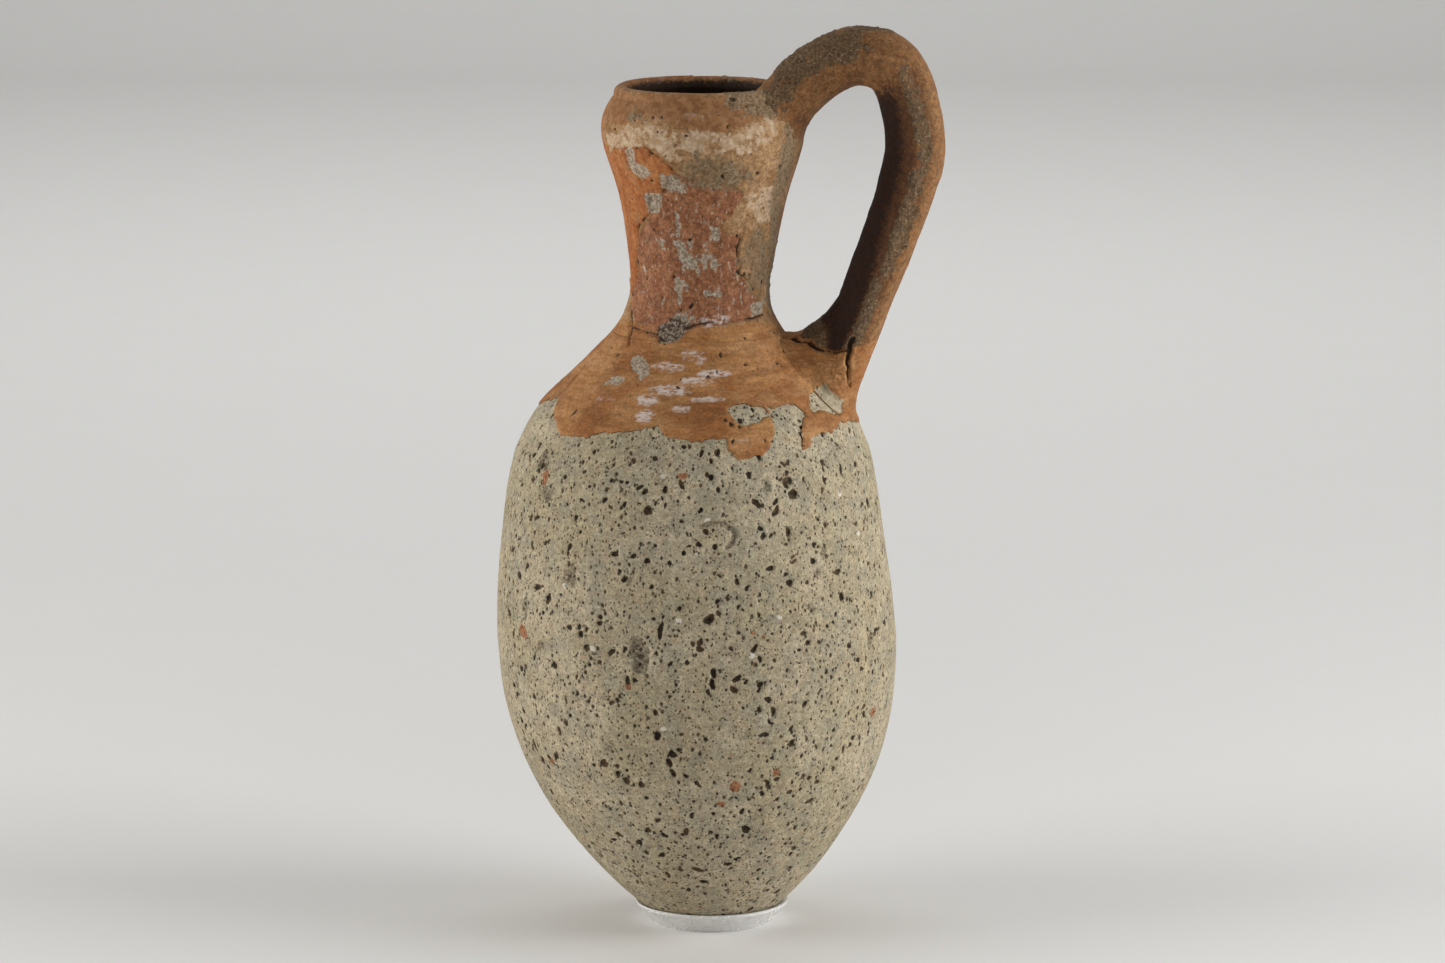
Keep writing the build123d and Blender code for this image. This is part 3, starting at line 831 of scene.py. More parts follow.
def bend(points, count):
    """Evenly spaced points on a smooth curve through the given ones."""
    p = np.array(points, float)
    p = np.vstack([2 * p[0] - p[1], p, 2 * p[-1] - p[-2]])
    curve = []
    for a, b, c, d in zip(p[:-3], p[1:-2], p[2:-1], p[3:]):
        square, cube = 2 * a - 5 * b + 4 * c - d, 3 * b - a - 3 * c + d
        for t in np.linspace(0, 1, 60, endpoint=False):
            curve.append(0.5 * (2 * b + (c - a) * t + square * t**2 + cube * t**3))
    curve = np.array([*curve, p[-2]])
    for _ in range(30):  # evens out the bends at the given points
        curve[1:-1] = (curve[:-2] + 2 * curve[1:-1] + curve[2:]) / 4
    length = np.concatenate([[0], np.cumsum(np.hypot(*np.diff(curve, axis=0).T))])
    where = np.linspace(0, length[-1], count)
    return np.stack([np.interp(where, length, curve[:, k]) for k in range(2)], -1), where


class Handle:
    """The pulled roll: points on its surface by angle round it and length along it."""

    def __init__(self):
        self.line, self.length = bend(HANDLE_LINE, 420)
        way = np.gradient(self.line, axis=0)
        self.way = way / np.hypot(*way.T)[:, None]

    def at(self, angle, length):
        """Points and normals. Angle 0 faces out of the loop, and a quarter turn faces the camera."""
        share = length / self.length[-1]
        x, z = (np.interp(length, self.length, self.line[:, k]) for k in range(2))
        tx, tz = (np.interp(length, self.length, self.way[:, k]) for k in range(2))
        thick = HANDLE_THICK[0] + (HANDLE_THICK[1] - HANDLE_THICK[0]) * smooth(0.4, 0.8, share)
        c, n = np.cos(angle), np.sin(angle)
        squarer = (np.abs(c) ** HANDLE_SQUARE + np.abs(n) ** HANDLE_SQUARE) ** (-1 / HANDLE_SQUARE)
        side = np.abs(turned(angle, 0))
        # A thumb's groove runs down each side, with a low ridge beside it.
        groove = 0.7 * np.exp(-(((side - 0.98) / 0.26) ** 2)) - 0.35 * np.exp(-(((side - 1.5) / 0.3) ** 2))
        reach = squarer - groove / 9.0 * smooth(0.1, 0.25, share) * smooth(0.98, 0.8, share)
        # The outward direction in the loop's plane is the tangent turned a quarter back.
        nx, nz = -tz, tx
        out = thick * c * reach
        point = np.stack([x + nx * out, -HANDLE_WIDE * n * reach, z + nz * out], -1)
        normal = np.stack([nx * c / thick, -n / HANDLE_WIDE, nz * c / thick], -1)
        normal /= np.linalg.norm(normal, axis=-1, keepdims=True)
        return point, normal


handle = Handle()


def handle_grain(points):
    """The two fine noises that the handle and its pads share."""
    return layered_noise(points, 1.9, 205, 2), layered_noise(points, 0.95, 207, 2)


def handle_fields(angle, length, points):
    """Relief and colour fields of the handle."""
    share = length / handle.length[-1]
    broad = layered_noise(points, 14.0, 211, 2)
    ragged = layered_noise(points, 5.0, 201)
    mid, fine = handle_grain(points)
    turn = turned(angle, 0)
    # A crust of grains runs along the side that faces the camera, broken at the crown.
    crust_turn = 1.18 + 0.08 * np.sin(share * 9)
    crust = smooth(0.62, 0.12, np.abs(turn - crust_turn))
    crust *= 1 - 0.75 * blob_along(share, 0.26, 0.05)
    top = smooth(1.3, 0.6, np.abs(turn - 0.5)) * smooth(0.05, 0.1, share) * smooth(0.32, 0.2, share)
    back = 0.7 * smooth(1.2, 0.5, np.abs(turn + 1.3))
    grit = smooth(0.35, 0.95, np.maximum(np.maximum(crust, top), back) + 0.4 * ragged + 0.25 * mid - 0.05)
    # The outer side of the roll is painted lighter: partly smoother clay, partly a painted highlight where
    # the right lamp falls.
    light = smooth(0.95, 0.35, np.abs(turn - 0.2)) * smooth(-0.6, 0.2, ragged + 0.8)
    light = np.maximum(light, 0.7 * smooth(0.36, 0.26, share))
    # Inside the loop the clay is painted nearly black as painted shade, where the neck keeps the lamps off,
    # from past the crown down to the foot.
    inward = np.abs(turn) + 0.3 * smooth(0.55, 0.75, share) + 0.06 * ragged
    shade_past_crown = smooth(0.27, 0.37, share)
    skin = fired_foot(points, turn, ragged)
    crack = foot_crack(points, turn, ragged, mid)
    relief = 0.3 * broad + 0.14 * ragged + 0.06 * mid + 0.3 * grit * (0.2 + 0.8 * fine + 0.8 * mid)
    relief -= 1.3 * smooth(0.35, -0.35, crack)
    pit = 1.2 - 1.9 * smooth(0.85, 1.15, fine + 0.5 * mid) * grit
    fields = {
        "grit": grit * (1 - skin), "light": light, "shade": smooth(1.0, 1.65, inward) * shade_past_crown, "skin": skin,
        "pit": np.minimum(pit + 2 * skin, crack + 0.05), "bare": 0 * relief,
        "dark": smooth(1.55, 2.1, inward) * shade_past_crown * (1 - skin),
    }
    return relief, fields


def foot_edge(turn):
    """Height at which the orange skin of the shoulder gives way to the handle's rough clay."""
    return np.interp(turned(turn, 1.5), [-1.5, 0.0, 0.5, 1.0, 1.5], [184.5, 183.0, 182.5, 184.0, 187.0])


def foot_crack(points, turn, ragged, mid):
    """Distance from the cracks at the handle's foot: one beside the roll, one along the rough clay's edge."""
    z = points[..., 2]
    down = np.interp(z, [170.0, 171.3, 178.5, 184.0], [0.70, 0.75, 1.25, 1.38])
    width = np.interp(z, [170.5, 178.0, 186.0], [0.2, 0.55, 1.0])
    beside = np.abs(turned(turn, down) + 0.05 * ragged + 0.03 * mid) * 9.0 - width
    beside = np.where((z > 170.6) & (z < 186.5), beside, NO_EDGE)
    along = np.abs(z - foot_edge(turn) + 0.5 + 0.7 * ragged) - 0.35 - 0.3 * mid
    return np.minimum(beside, np.where((turn > 1.4) & (turn < 2.9), along, NO_EDGE))


def fired_foot(points, turn, ragged):
    """1 below the edge where the shoulder's orange skin runs up onto the handle."""
    return smooth(1.2, -0.8, points[..., 2] - foot_edge(turn) + 1.1 * ragged)


def blob_along(share, centre, half):
    """1 at a place along the handle, falling to 0 half a length away."""
    return smooth(1.0, 0.3, np.abs(share - centre) / half)


def tucked(rings):
    """Rings whose buried points are drawn up to lie just under the wall's outer face."""
    depth, s = outline.distance(rings)
    theta = np.arctan2(rings[..., 1], rings[..., 0] - outline.lean(rings[..., 2]))
    out = outline.surface(theta, np.minimum(s, outline.crest))[1]
    return rings + out * np.maximum(-BURIED - depth, 0)[..., None]


def handle_piece(name):
    """The roll, with both ends closed inside the wall."""
    angle = np.linspace(-math.pi, math.pi, 8 * int(HANDLE_GIRTH / STEP / 8), endpoint=False)
    length = np.linspace(0, handle.length[-1], int(handle.length[-1] / STEP))
    a_grid, l_grid = np.meshgrid(angle, length)
    points, normals = handle.at(a_grid, l_grid)
    relief, fields = handle_fields(a_grid, l_grid, points)
    rings = points + normals * relief[..., None]
    shares = np.linspace(0.02, 0.9, 8)
    start, end = rings[0].mean(0), rings[-1].mean(0)
    head = [start + (rings[0] - start) * k for k in shares]
    tail = [end + (rings[-1] - end) * k for k in shares[::-1]]
    rings = tucked(np.concatenate([head, rings, tail]))
    return make_mesh(name, rings, padded(fields, len(shares), len(shares), 0.0), (), False, 2)


def meeting(angle, from_root):
    """Where each line along the handle leaves the wall: length along the handle, and place on the wall."""
    lengths = handle.length if from_root else handle.length[::-1]
    lengths = lengths[: len(lengths) // 4]
    points, _ = handle.at(*np.meshgrid(angle, lengths))
    apart, along = outline.distance(points)
    out = np.maximum(np.argmax(apart > 0, axis=0), 1)
    cols = np.arange(len(angle))
    before, after = apart[out - 1, cols], apart[out, cols]
    share = np.clip(-before / np.maximum(after - before, 1e-6), 0, 1)

    def between(values):
        return values[out - 1, cols] * (1 - share) + values[out, cols] * share

    point = np.stack([between(points[..., k]) for k in range(3)], -1)
    theta = np.arctan2(point[:, 1], point[:, 0] - outline.lean(point[:, 2]))
    rho = np.hypot(point[:, 1], point[:, 0] - outline.lean(point[:, 2]))
    s = between(along)
    # Over the mouth the handle leaves past the crest of the lip, on its inner side.
    over = np.clip(outline.at(outline.crest)[0] - rho, 0, 4.5)
    s = np.where(s > outline.crest - 0.3, outline.crest + over, s)
    return lengths[out - 1] * (1 - share) + lengths[out] * share, theta, s


def pad_piece(name, from_root, climb, spread, fill, field):
    """Clay smoothed from the handle onto the wall, with feathered edges.

    At each angle round the handle it climbs up the handle and spreads over the wall by the lengths given,
    and fill is how far it fills the corner between them.
    """
    angle = np.linspace(-math.pi, math.pi, PAD_COLUMNS, endpoint=False)
    length, theta, s = meeting(angle, from_root)
    blur = np.array([1, 4, 6, 4, 1]) / 16
    for _ in range(8):
        length, s, theta = (np.convolve(np.pad(q, 2, "wrap"), blur, "valid") for q in (length, s, theta))
    sign = 1 if from_root else -1
    radius = outline.at(s)[0]
    away = np.stack([theta * radius, s - s.mean()], -1)
    away /= np.maximum(np.linalg.norm(away, axis=-1, keepdims=True), 1e-6)
    reach = spread(angle)
    foot_theta = theta + away[:, 0] * reach / radius
    foot_s = np.minimum(s + away[:, 1] * reach, outline.crest + 6.0)
    top, _ = handle.at(angle, length + sign * climb(angle))
    foot, foot_normal = outline.surface(foot_theta, foot_s)
    foot = foot + foot_normal * (lumps(foot) - 0.1)[:, None]
    corner, _ = handle.at(angle, length)
    centre = corner.mean(0)
    share = fill(angle)[:, None]
    corner = corner * (1 - share) + (top + foot) / 2 * share
    # The hidden underside is drawn in toward the roll's middle and into the wall.
    deep = corner + (centre - corner) * 0.35 - foot_normal * 2.0
    # From the handle at t = 0 to the wall at t = 1 the pad's face is a curve that bends at the corner.
    t = np.linspace(0, 1, PAD_ROWS)[:, None, None]
    over = (1 - t) ** 2 * top + 2 * t * (1 - t) * corner + t**2 * foot
    back = t[-2:0:-6]
    under = (1 - back) ** 2 * top + 2 * back * (1 - back) * deep + back**2 * foot
    normals = np.cross(np.roll(over, -1, 1) - np.roll(over, 1, 1), np.gradient(over, axis=0))
    normals /= np.maximum(np.linalg.norm(normals, axis=-1, keepdims=True), 1e-9)
    outward = np.sign(((over - centre) * normals).sum(-1).mean())
    normals *= outward
    a_grid, t_grid = np.meshgrid(angle, t.ravel())
    relief, fields = field(a_grid, t_grid, over)
    # The pad starts with the handle's own relief and colour, so no collar shows.
    start, own = handle_fields(a_grid, (length + sign * climb(angle))[None] + 0 * t_grid, over)
    blend = smooth(0.0, 0.45, t_grid)
    relief = start * (1 - blend) + relief * blend
    fields = {key: own[key] * (1 - blend) + fields[key] * blend for key in own}
    rings = np.concatenate([over + normals * relief[..., None], under])
    fields = padded(fields, 0, len(under), 0.0)
    if outward > 0:
        rings = rings[:, ::-1]
        fields = {key: values[:, ::-1] for key, values in fields.items()}
    return make_mesh(name, rings, fields, (), True, 1)


def rim_pad_fields(angle, t, points):
    """Relief and colour fields of the pad at the rim. t runs from 0 on the handle to 1 on the wall."""
    ragged = layered_noise(points, 4.0, 221)
    mid, fine = handle_grain(points)
    side = smooth(2.3, 1.2, np.abs(turned(angle, 0.3)))
    grit = smooth(0.3, 0.9, 0.85 * side + 0.4 * ragged + 0.25 * mid)
    relief = 0.12 + smooth(1.0, 0.85, t) * (0.2 + 0.3 * ragged + 0.1 * mid + 0.22 * grit * (0.3 + fine))
    pit = 1.2 - 1.9 * smooth(0.85, 1.15, fine + 0.5 * mid) * grit
    # Painted shade on the side of the pad that faces into the loop.
    shade = smooth(1.6, 2.4, np.abs(turned(angle, 0)))
    fields = {
        "grit": grit, "light": 0.8 * smooth(0.4, 0.9, t), "shade": 0.3 * shade * (1 - t), "skin": 0 * t,
        "pit": pit, "dark": 0 * t, "bare": 0 * t,
    }
    return relief, fields


def foot_pad_fields(angle, t, points):
    """Relief and colour fields of the pad at the handle's foot."""
    ragged = layered_noise(points, 4.0, 227)
    mid, fine = handle_grain(points)
    z = points[..., 2]
    edge = foot_edge(angle)
    skin = fired_foot(points, angle, ragged)
    crack = foot_crack(points, angle, ragged, mid)
    rough = smooth(5.0, 1.5, np.abs(z - edge - 2.0)) + 0.35 * ragged + 0.2 * mid
    rough = smooth(0.2, 0.8, rough) * (1 - skin)
    theta = np.arctan2(points[..., 1], points[..., 0] - outline.lean(z))
    off_skin = skin_distance(theta, outline.distance(points)[1], points)
    bare = smooth(0.15, -0.15, off_skin) * smooth(0.3, 0.6, t)
    relief = 0.12 + smooth(1.0, 0.85, t) * (0.2 + 0.2 * ragged + 0.06 * mid + 0.04 * fine)
    relief += 0.15 * rough * (0.3 + fine) - 1.3 * smooth(0.35, -0.35, crack) - SKIN_DEPTH * bare
    # The shade and dark fields are painted shade on the side of the pad that faces into the loop, as on the
    # roll.
    fields = {
        "grit": rough, "light": 0 * t, "shade": smooth(2.2, 2.8, np.abs(angle)) * (1 - skin), "skin": skin,
        "pit": crack + 0.05, "dark": smooth(2.3, 2.9, np.abs(angle)) * (1 - skin), "bare": bare,
    }
    return relief, fields


# ---- materials ----
class Nodes:
    """A small writer of node trees."""

    def __init__(self, name):
        self.material = bpy.data.materials.new(name)
        self.material.use_nodes = True
        self.tree = self.material.node_tree
        self.shader = self.tree.nodes["Principled BSDF"]
        self.place = self.new("ShaderNodeTexCoord").outputs["Object"]
        self.crumble = None

    def new(self, kind, **settings):
        node = self.tree.nodes.new(kind)
        for key, value in settings.items():
            setattr(node, key, value)
        return node

    def put(self, value, socket):
        if isinstance(value, bpy.types.NodeSocket):
            self.tree.links.new(value, socket)
        else:
            socket.default_value = value

    def moved(self, scale, shift=0.0):
        """Object coordinates, scaled and shifted."""
        mapping = self.new("ShaderNodeMapping")
        mapping.inputs["Scale"].default_value = scale
        mapping.inputs["Location"].default_value = (shift, shift, shift)
        self.put(self.place, mapping.inputs["Vector"])
        return mapping.outputs["Vector"]

    def noise(self, size, detail=4.0, roughness=0.6, stretch=None):
        """Noise from 0 to 1 with features about size millimetres across."""
        node = self.new("ShaderNodeTexNoise")
        self.put(self.moved(stretch) if stretch else self.place, node.inputs["Vector"])
        node.inputs["Scale"].default_value = 1 / (size * MM)
        node.inputs["Detail"].default_value = detail
        node.inputs["Roughness"].default_value = roughness
        return node.outputs["Fac"]

    def field(self, name):
        return self.new("ShaderNodeAttribute", attribute_name=name).outputs["Fac"]

    def math(self, operation, a, b=0.0, c=0.0):
        node = self.new("ShaderNodeMath", operation=operation)
        for value, socket in zip((a, b, c), node.inputs):
            self.put(value, socket)
        return node.outputs[0]

    def ranged(self, value, ends, **settings):
        """value mapped from the first two ends to the last two."""
        node = self.new("ShaderNodeMapRange", **settings)
        for socket, number in zip(node.inputs[1:5], ends):
            socket.default_value = number
        self.put(value, node.inputs["Value"])
        return node.outputs["Result"]

    def step(self, value, low, high, to_low=0.0, to_high=1.0):
        """value mapped smoothly from low..high to to_low..to_high."""
        return self.ranged(value, (low, high, to_low, to_high), interpolation_type="SMOOTHSTEP")

    def mix(self, factor, a, b, blend="MIX"):
        node = self.new("ShaderNodeMix", data_type="RGBA", blend_type=blend)
        self.put(factor, node.inputs["Factor"])
        for value, socket in ((a, node.inputs[6]), (b, node.inputs[7])):
            self.put((*value, 1.0) if isinstance(value, tuple) else value, socket)
        return node.outputs[2]

    def specks(self, cell, smallest, largest, share=1.0, tall=1.0, seed=0.0):
        """1 inside scattered specks between two radii, at most one to a cell of that size, in millimetres."""
        place = self.moved((1, 1, 1 / tall), seed)
        node = self.new("ShaderNodeTexVoronoi", feature="F1")
        self.put(place, node.inputs["Vector"])
        node.inputs["Scale"].default_value = 1 / (cell * MM)
        split = self.new("ShaderNodeSeparateColor")
        self.put(node.outputs["Color"], split.inputs["Color"])
        draw = split.outputs["Red"]
        radius = self.ranged(draw, (1 - share, 1, smallest / cell, largest / cell))
        wobble = self.math("SUBTRACT", self.noise(cell * 0.4, 2.0), 0.5)
        wobble = self.math("MULTIPLY", wobble, 0.45 * largest / cell)
        inside = self.math("SUBTRACT", radius, self.math("ADD", node.outputs["Distance"], wobble))
        inside = self.step(inside, -0.035, 0.035)
        return self.math("MULTIPLY", inside, self.math("GREATER_THAN", draw, 1 - share))

    def bump(self, height, strength, distance, below=None):
        node = self.new("ShaderNodeBump")
        self.put(height, node.inputs["Height"])
        node.inputs["Strength"].default_value = strength
        node.inputs["Distance"].default_value = distance * MM
        if below is not None:
            self.put(below, node.inputs["Normal"])
        return node.outputs["Normal"]

    def finish(self, colour, roughness, normal):
        self.put(colour, self.shader.inputs["Base Color"])
        self.put(roughness, self.shader.inputs["Roughness"])
        self.put(normal, self.shader.inputs["Normal"])
        self.shader.inputs["Specular IOR Level"].default_value = 0.25
        return self.material

    def over(self, colour, mask, amount, other):
        """colour mixed toward other by amount where mask is 1."""
        return self.mix(self.math("MULTIPLY", mask, amount), colour, other)

    def tint(self, colour, value, low, high, amount, other):
        """colour mixed toward other by amount where value rises from low to high."""
        return self.over(colour, self.step(value, low, high), amount, other)

    def shade(self, colour, noise, dark, bright):
        """colour made darker or brighter by a noise, over the range that most of a noise's values lie in."""
        return self.mix(1.0, colour, self.step(noise, 0.38, 0.62, dark, bright), "MULTIPLY")

    def mottled(self, value, low, high, first, second):
        """A colour that goes from first to second as value rises from low to high."""
        return self.mix(self.step(value, low, high), first, second)

    def cover(self, colour, field, amount, other, blur=0.2):
        """colour covered by other where a field of the mesh is near 1, with a finely broken edge."""
        if self.crumble is None:
            self.crumble = self.math("MULTIPLY", self.math("SUBTRACT", self.noise(1.1, 5.0, 0.72), 0.5), 1.9)
        broken = self.math("ADD", self.field(field), self.crumble)
        broken = self.step(broken, 0.5 - blur, 0.5 + blur)
        mask = self.math("MULTIPLY", broken, self.step(self.field(field), 0.02, 0.1))
        return self.over(colour, mask, amount, other)


def pit_mask(n):
    """1 inside the carved pits, with a finely ragged edge. The pits are painted dark inside, partly for dirt
    and partly as painted shade.
    """
    ragged = n.math("MULTIPLY", n.math("SUBTRACT", n.noise(0.7, 3.0), 0.5), 0.35)
    return n.step(n.math("ADD", n.field("pit"), ragged), PIT_EDGE, -PIT_EDGE)


def porous_clay():
    n = Nodes("porous_clay")
    colour = n.mottled(n.noise(30, 3.0), 0.4, 0.6, (0.395, 0.335, 0.215), (0.47, 0.40, 0.275))
    colour = n.tint(colour, n.noise(10, 4.0, 0.65), 0.47, 0.6, 0.7, (0.35, 0.315, 0.225))
    colour = n.tint(colour, n.noise(5.5, 4.0, 0.65), 0.5, 0.62, 0.45, (0.46, 0.36, 0.23))
    colour = n.shade(colour, n.noise(4.0, 4.0, 0.7), 0.9, 1.09)
    colour = n.shade(colour, n.noise(1.6, 4.0, 0.7), 0.86, 1.1)
    colour = n.shade(colour, n.noise(0.62, 3.0, 0.75), 0.76, 1.18)
    colour = n.tint(colour, n.noise(2.2, 3.0), 0.6, 0.7, 0.5, (0.36, 0.215, 0.115))
    colour = n.over(colour, n.specks(5.0, 0.2, 0.55, 0.3), 0.6, (0.66, 0.60, 0.49))
    colour = n.cover(colour, "pale", 0.9, (0.66, 0.61, 0.51))
    stained = n.mottled(n.noise(0.8, 3.0), 0.4, 0.6, (0.10, 0.078, 0.048), (0.27, 0.225, 0.15))
    colour = n.cover(colour, "stain", 0.8, stained)
    rusty = n.mottled(n.noise(0.9, 3.0), 0.38, 0.62, (0.42, 0.185, 0.085), (0.20, 0.082, 0.042))
    colour = n.cover(colour, "rust", 0.95, rusty)
    tiny = n.specks(1.0, 0.15, 0.31, 0.8, 1.4)
    small = n.specks(2.2, 0.28, 0.56, 0.7, 1.35, 0.3)
    holes = n.math("MAXIMUM", n.math("MULTIPLY", tiny, 0.75), n.math("MULTIPLY", small, 0.9))
    # Pits and tiny holes are painted dark inside: partly brown dirt, partly painted shade.
    deep = n.mottled(n.noise(3.4, 2.0), 0.46, 0.58, (0.024, 0.015, 0.009), (0.085, 0.052, 0.026))
    colour = n.mix(holes, colour, deep)
    colour = n.over(colour, pit_mask(n), 0.95, deep)
    # The dark field is painted shade on the inside of the pot.
    colour = n.cover(colour, "dark", 0.85, (0.08, 0.055, 0.03))
    normal = n.bump(n.noise(0.6, 5.0, 0.75), 0.75, 0.3)
    normal = n.bump(n.noise(2.2, 5.0, 0.65), 0.5, 0.5, normal)
    normal = n.bump(n.math("MULTIPLY", holes, -1.0), 1.0, 0.35, normal)
    return n.finish(colour, n.step(n.noise(2.0, 3.0), 0.3, 0.7, 0.84, 0.97), normal)


def shoulder_orange(n):
    """The fine orange clay of the fired skin, brushed sideways."""
    streak = n.noise(6.0, 5.0, 0.65, stretch=(0.3, 0.3, 2.4))
    colour = n.mix(n.step(streak, 0.38, 0.62), (0.335, 0.150, 0.050), (0.43, 0.215, 0.082))
    colour = n.tint(colour, n.noise(17, 3.0), 0.45, 0.6, 0.75, (0.28, 0.104, 0.029))
    wash = n.noise(8, 4.0, 0.65, stretch=(0.5, 0.5, 1.7))
    colour = n.tint(colour, wash, 0.53, 0.64, 0.5, (0.195, 0.076, 0.022))
    colour = n.tint(colour, n.noise(13, 3.0, stretch=(0.6, 0.6, 1.8)), 0.52, 0.66, 0.35, (0.44, 0.245, 0.105))
    colour = n.shade(colour, n.noise(2.0, 4.0, 0.7, stretch=(0.6, 0.6, 1.5)), 0.86, 1.12)
    colour = n.shade(colour, n.noise(0.8, 4.0, 0.7), 0.8, 1.14)
    colour = n.tint(colour, n.noise(0.9, 3.0, stretch=(0.4, 0.4, 1.6)), 0.6, 0.72, 0.3, (0.52, 0.37, 0.23))
    return colour


def fired_clay():
    n = Nodes("fired_clay")
    neck = n.mottled(n.noise(8, 4.0, 0.65), 0.4, 0.6, (0.29, 0.155, 0.062), (0.42, 0.255, 0.125))
    neck = n.tint(neck, n.noise(3.0, 5.0, 0.7), 0.47, 0.6, 0.55, (0.22, 0.115, 0.05))
    neck = n.shade(neck, n.noise(0.9, 4.0, 0.7), 0.7, 1.22)
    neck = n.over(neck, n.specks(1.7, 0.12, 0.32, 0.5, 1.0, 0.4), 0.6, (0.10, 0.052, 0.024))
    upright = n.noise(5.0, 5.0, 0.7, stretch=(1.4, 1.4, 0.6))
    flake = n.mottled(upright, 0.4, 0.6, (0.32, 0.102, 0.028), (0.41, 0.168, 0.056))
    upright = n.noise(4.5, 5.0, 0.7, stretch=(1.3, 1.3, 0.6))
    flake = n.tint(flake, upright, 0.53, 0.62, 0.6, (0.33, 0.165, 0.068))
    flake = n.shade(flake, n.noise(1.1, 4.0, 0.7), 0.74, 1.18)
    high = neck_mask(n)
    colour = n.cover(neck, "orange", 1.0, n.mix(high, shoulder_orange(n), flake))
    browned = n.mottled(n.noise(2.4, 5.0, 0.7), 0.4, 0.6, (0.21, 0.088, 0.032), (0.34, 0.165, 0.068))
    colour = n.cover(colour, "brown", 0.85, browned, 0.35)
    cream = n.mottled(n.noise(2.0, 4.0, 0.7), 0.38, 0.62, (0.42, 0.275, 0.155), (0.57, 0.43, 0.295))
    cream = n.shade(cream, n.noise(0.8, 4.0, 0.7), 0.82, 1.1)
    colour = n.cover(colour, "cream", 0.92, cream, 0.3)
    worn = n.mottled(n.noise(3.6, 5.0, 0.75), 0.4, 0.6, (0.205, 0.077, 0.033), (0.335, 0.146, 0.066))
    worn = n.tint(worn, n.noise(6.0, 4.0), 0.48, 0.62, 0.6, (0.27, 0.105, 0.052))
    worn = n.shade(worn, n.noise(1.0, 5.0, 0.75), 0.66, 1.25)
    worn = n.tint(worn, n.noise(1.6, 5.0, 0.75, stretch=(1.5, 1.5, 0.6)), 0.56, 0.64, 0.6, (0.44, 0.35, 0.26))
    worn = n.over(worn, n.specks(1.5, 0.12, 0.34, 0.4, 2.0, 0.2), 0.65, (0.50, 0.40, 0.31))
    worn = n.over(worn, n.specks(1.8, 0.10, 0.28, 0.35, 1.0, 0.5), 0.7, (0.06, 0.028, 0.014))
    colour = n.cover(colour, "worn", 1.0, worn)
    olive = n.mottled(n.noise(1.4, 5.0, 0.75), 0.4, 0.6, (0.11, 0.07, 0.035), (0.28, 0.185, 0.10))
    colour = n.cover(colour, "olive", 0.8, olive, 0.35)
    grey = n.mottled(n.noise(0.9, 5.0, 0.75), 0.42, 0.58, (0.20, 0.16, 0.11), (0.47, 0.42, 0.33))
    colour = n.cover(colour, "grey", 0.82, grey)
    sooty = n.mottled(n.noise(1.0, 5.0, 0.75), 0.44, 0.6, (0.05, 0.032, 0.02), (0.33, 0.285, 0.22))
    colour = n.cover(colour, "sooty", 0.9, sooty)
    colour = n.cover(colour, "grit", 0.85, grains(n, (0.14, 0.092, 0.050), (0.30, 0.215, 0.125)))
    chalk = n.field("chalk")
    strokes = n.noise(1.1, 5.0, 0.7, stretch=(0.45, 0.45, 1.7))
    chalk = n.math("MULTIPLY", chalk, n.step(strokes, 0.41, 0.53))
    colour = n.over(colour, chalk, 0.85, (0.66, 0.575, 0.53))
    colour = n.over(colour, n.specks(2.4, 0.12, 0.3, 0.25), 0.75, (0.085, 0.045, 0.02))
    # Pits and cracks painted dark: partly dirt, partly painted shade.
    colour = n.over(colour, pit_mask(n), 0.92, (0.035, 0.019, 0.009))
    # Painted shade inside the mouth.
    colour = n.cover(colour, "dark", 0.97, (0.022, 0.011, 0.006), 0.4)
    normal = n.bump(n.noise(0.7, 5.0, 0.75), 0.6, 0.25)
    normal = n.bump(n.noise(2.6, 4.0, stretch=(0.6, 0.6, 1.4)), 0.5, 0.45, normal)
    return n.finish(colour, n.step(n.noise(3.0, 3.0), 0.3, 0.7, 0.68, 0.92), normal)


def neck_mask(n):
    """0 on the shoulder, 1 on the neck."""
    split = n.new("ShaderNodeSeparateXYZ")
    n.put(n.place, split.inputs[0])
    return n.step(split.outputs["Z"], (NECK_Z + 3) * MM, (NECK_Z + 12) * MM)


def grains(n, low, high):
    """A crust of pale and dark grains."""
    colour = n.mottled(n.noise(1.0, 5.0, 0.8), 0.42, 0.58, low, high)
    colour = n.over(colour, n.specks(0.95, 0.14, 0.32, 0.55), 0.6, (0.36, 0.28, 0.18))
    return n.over(colour, n.specks(1.15, 0.15, 0.36, 0.55, 1.0, 0.7), 0.75, (0.03, 0.018, 0.009))


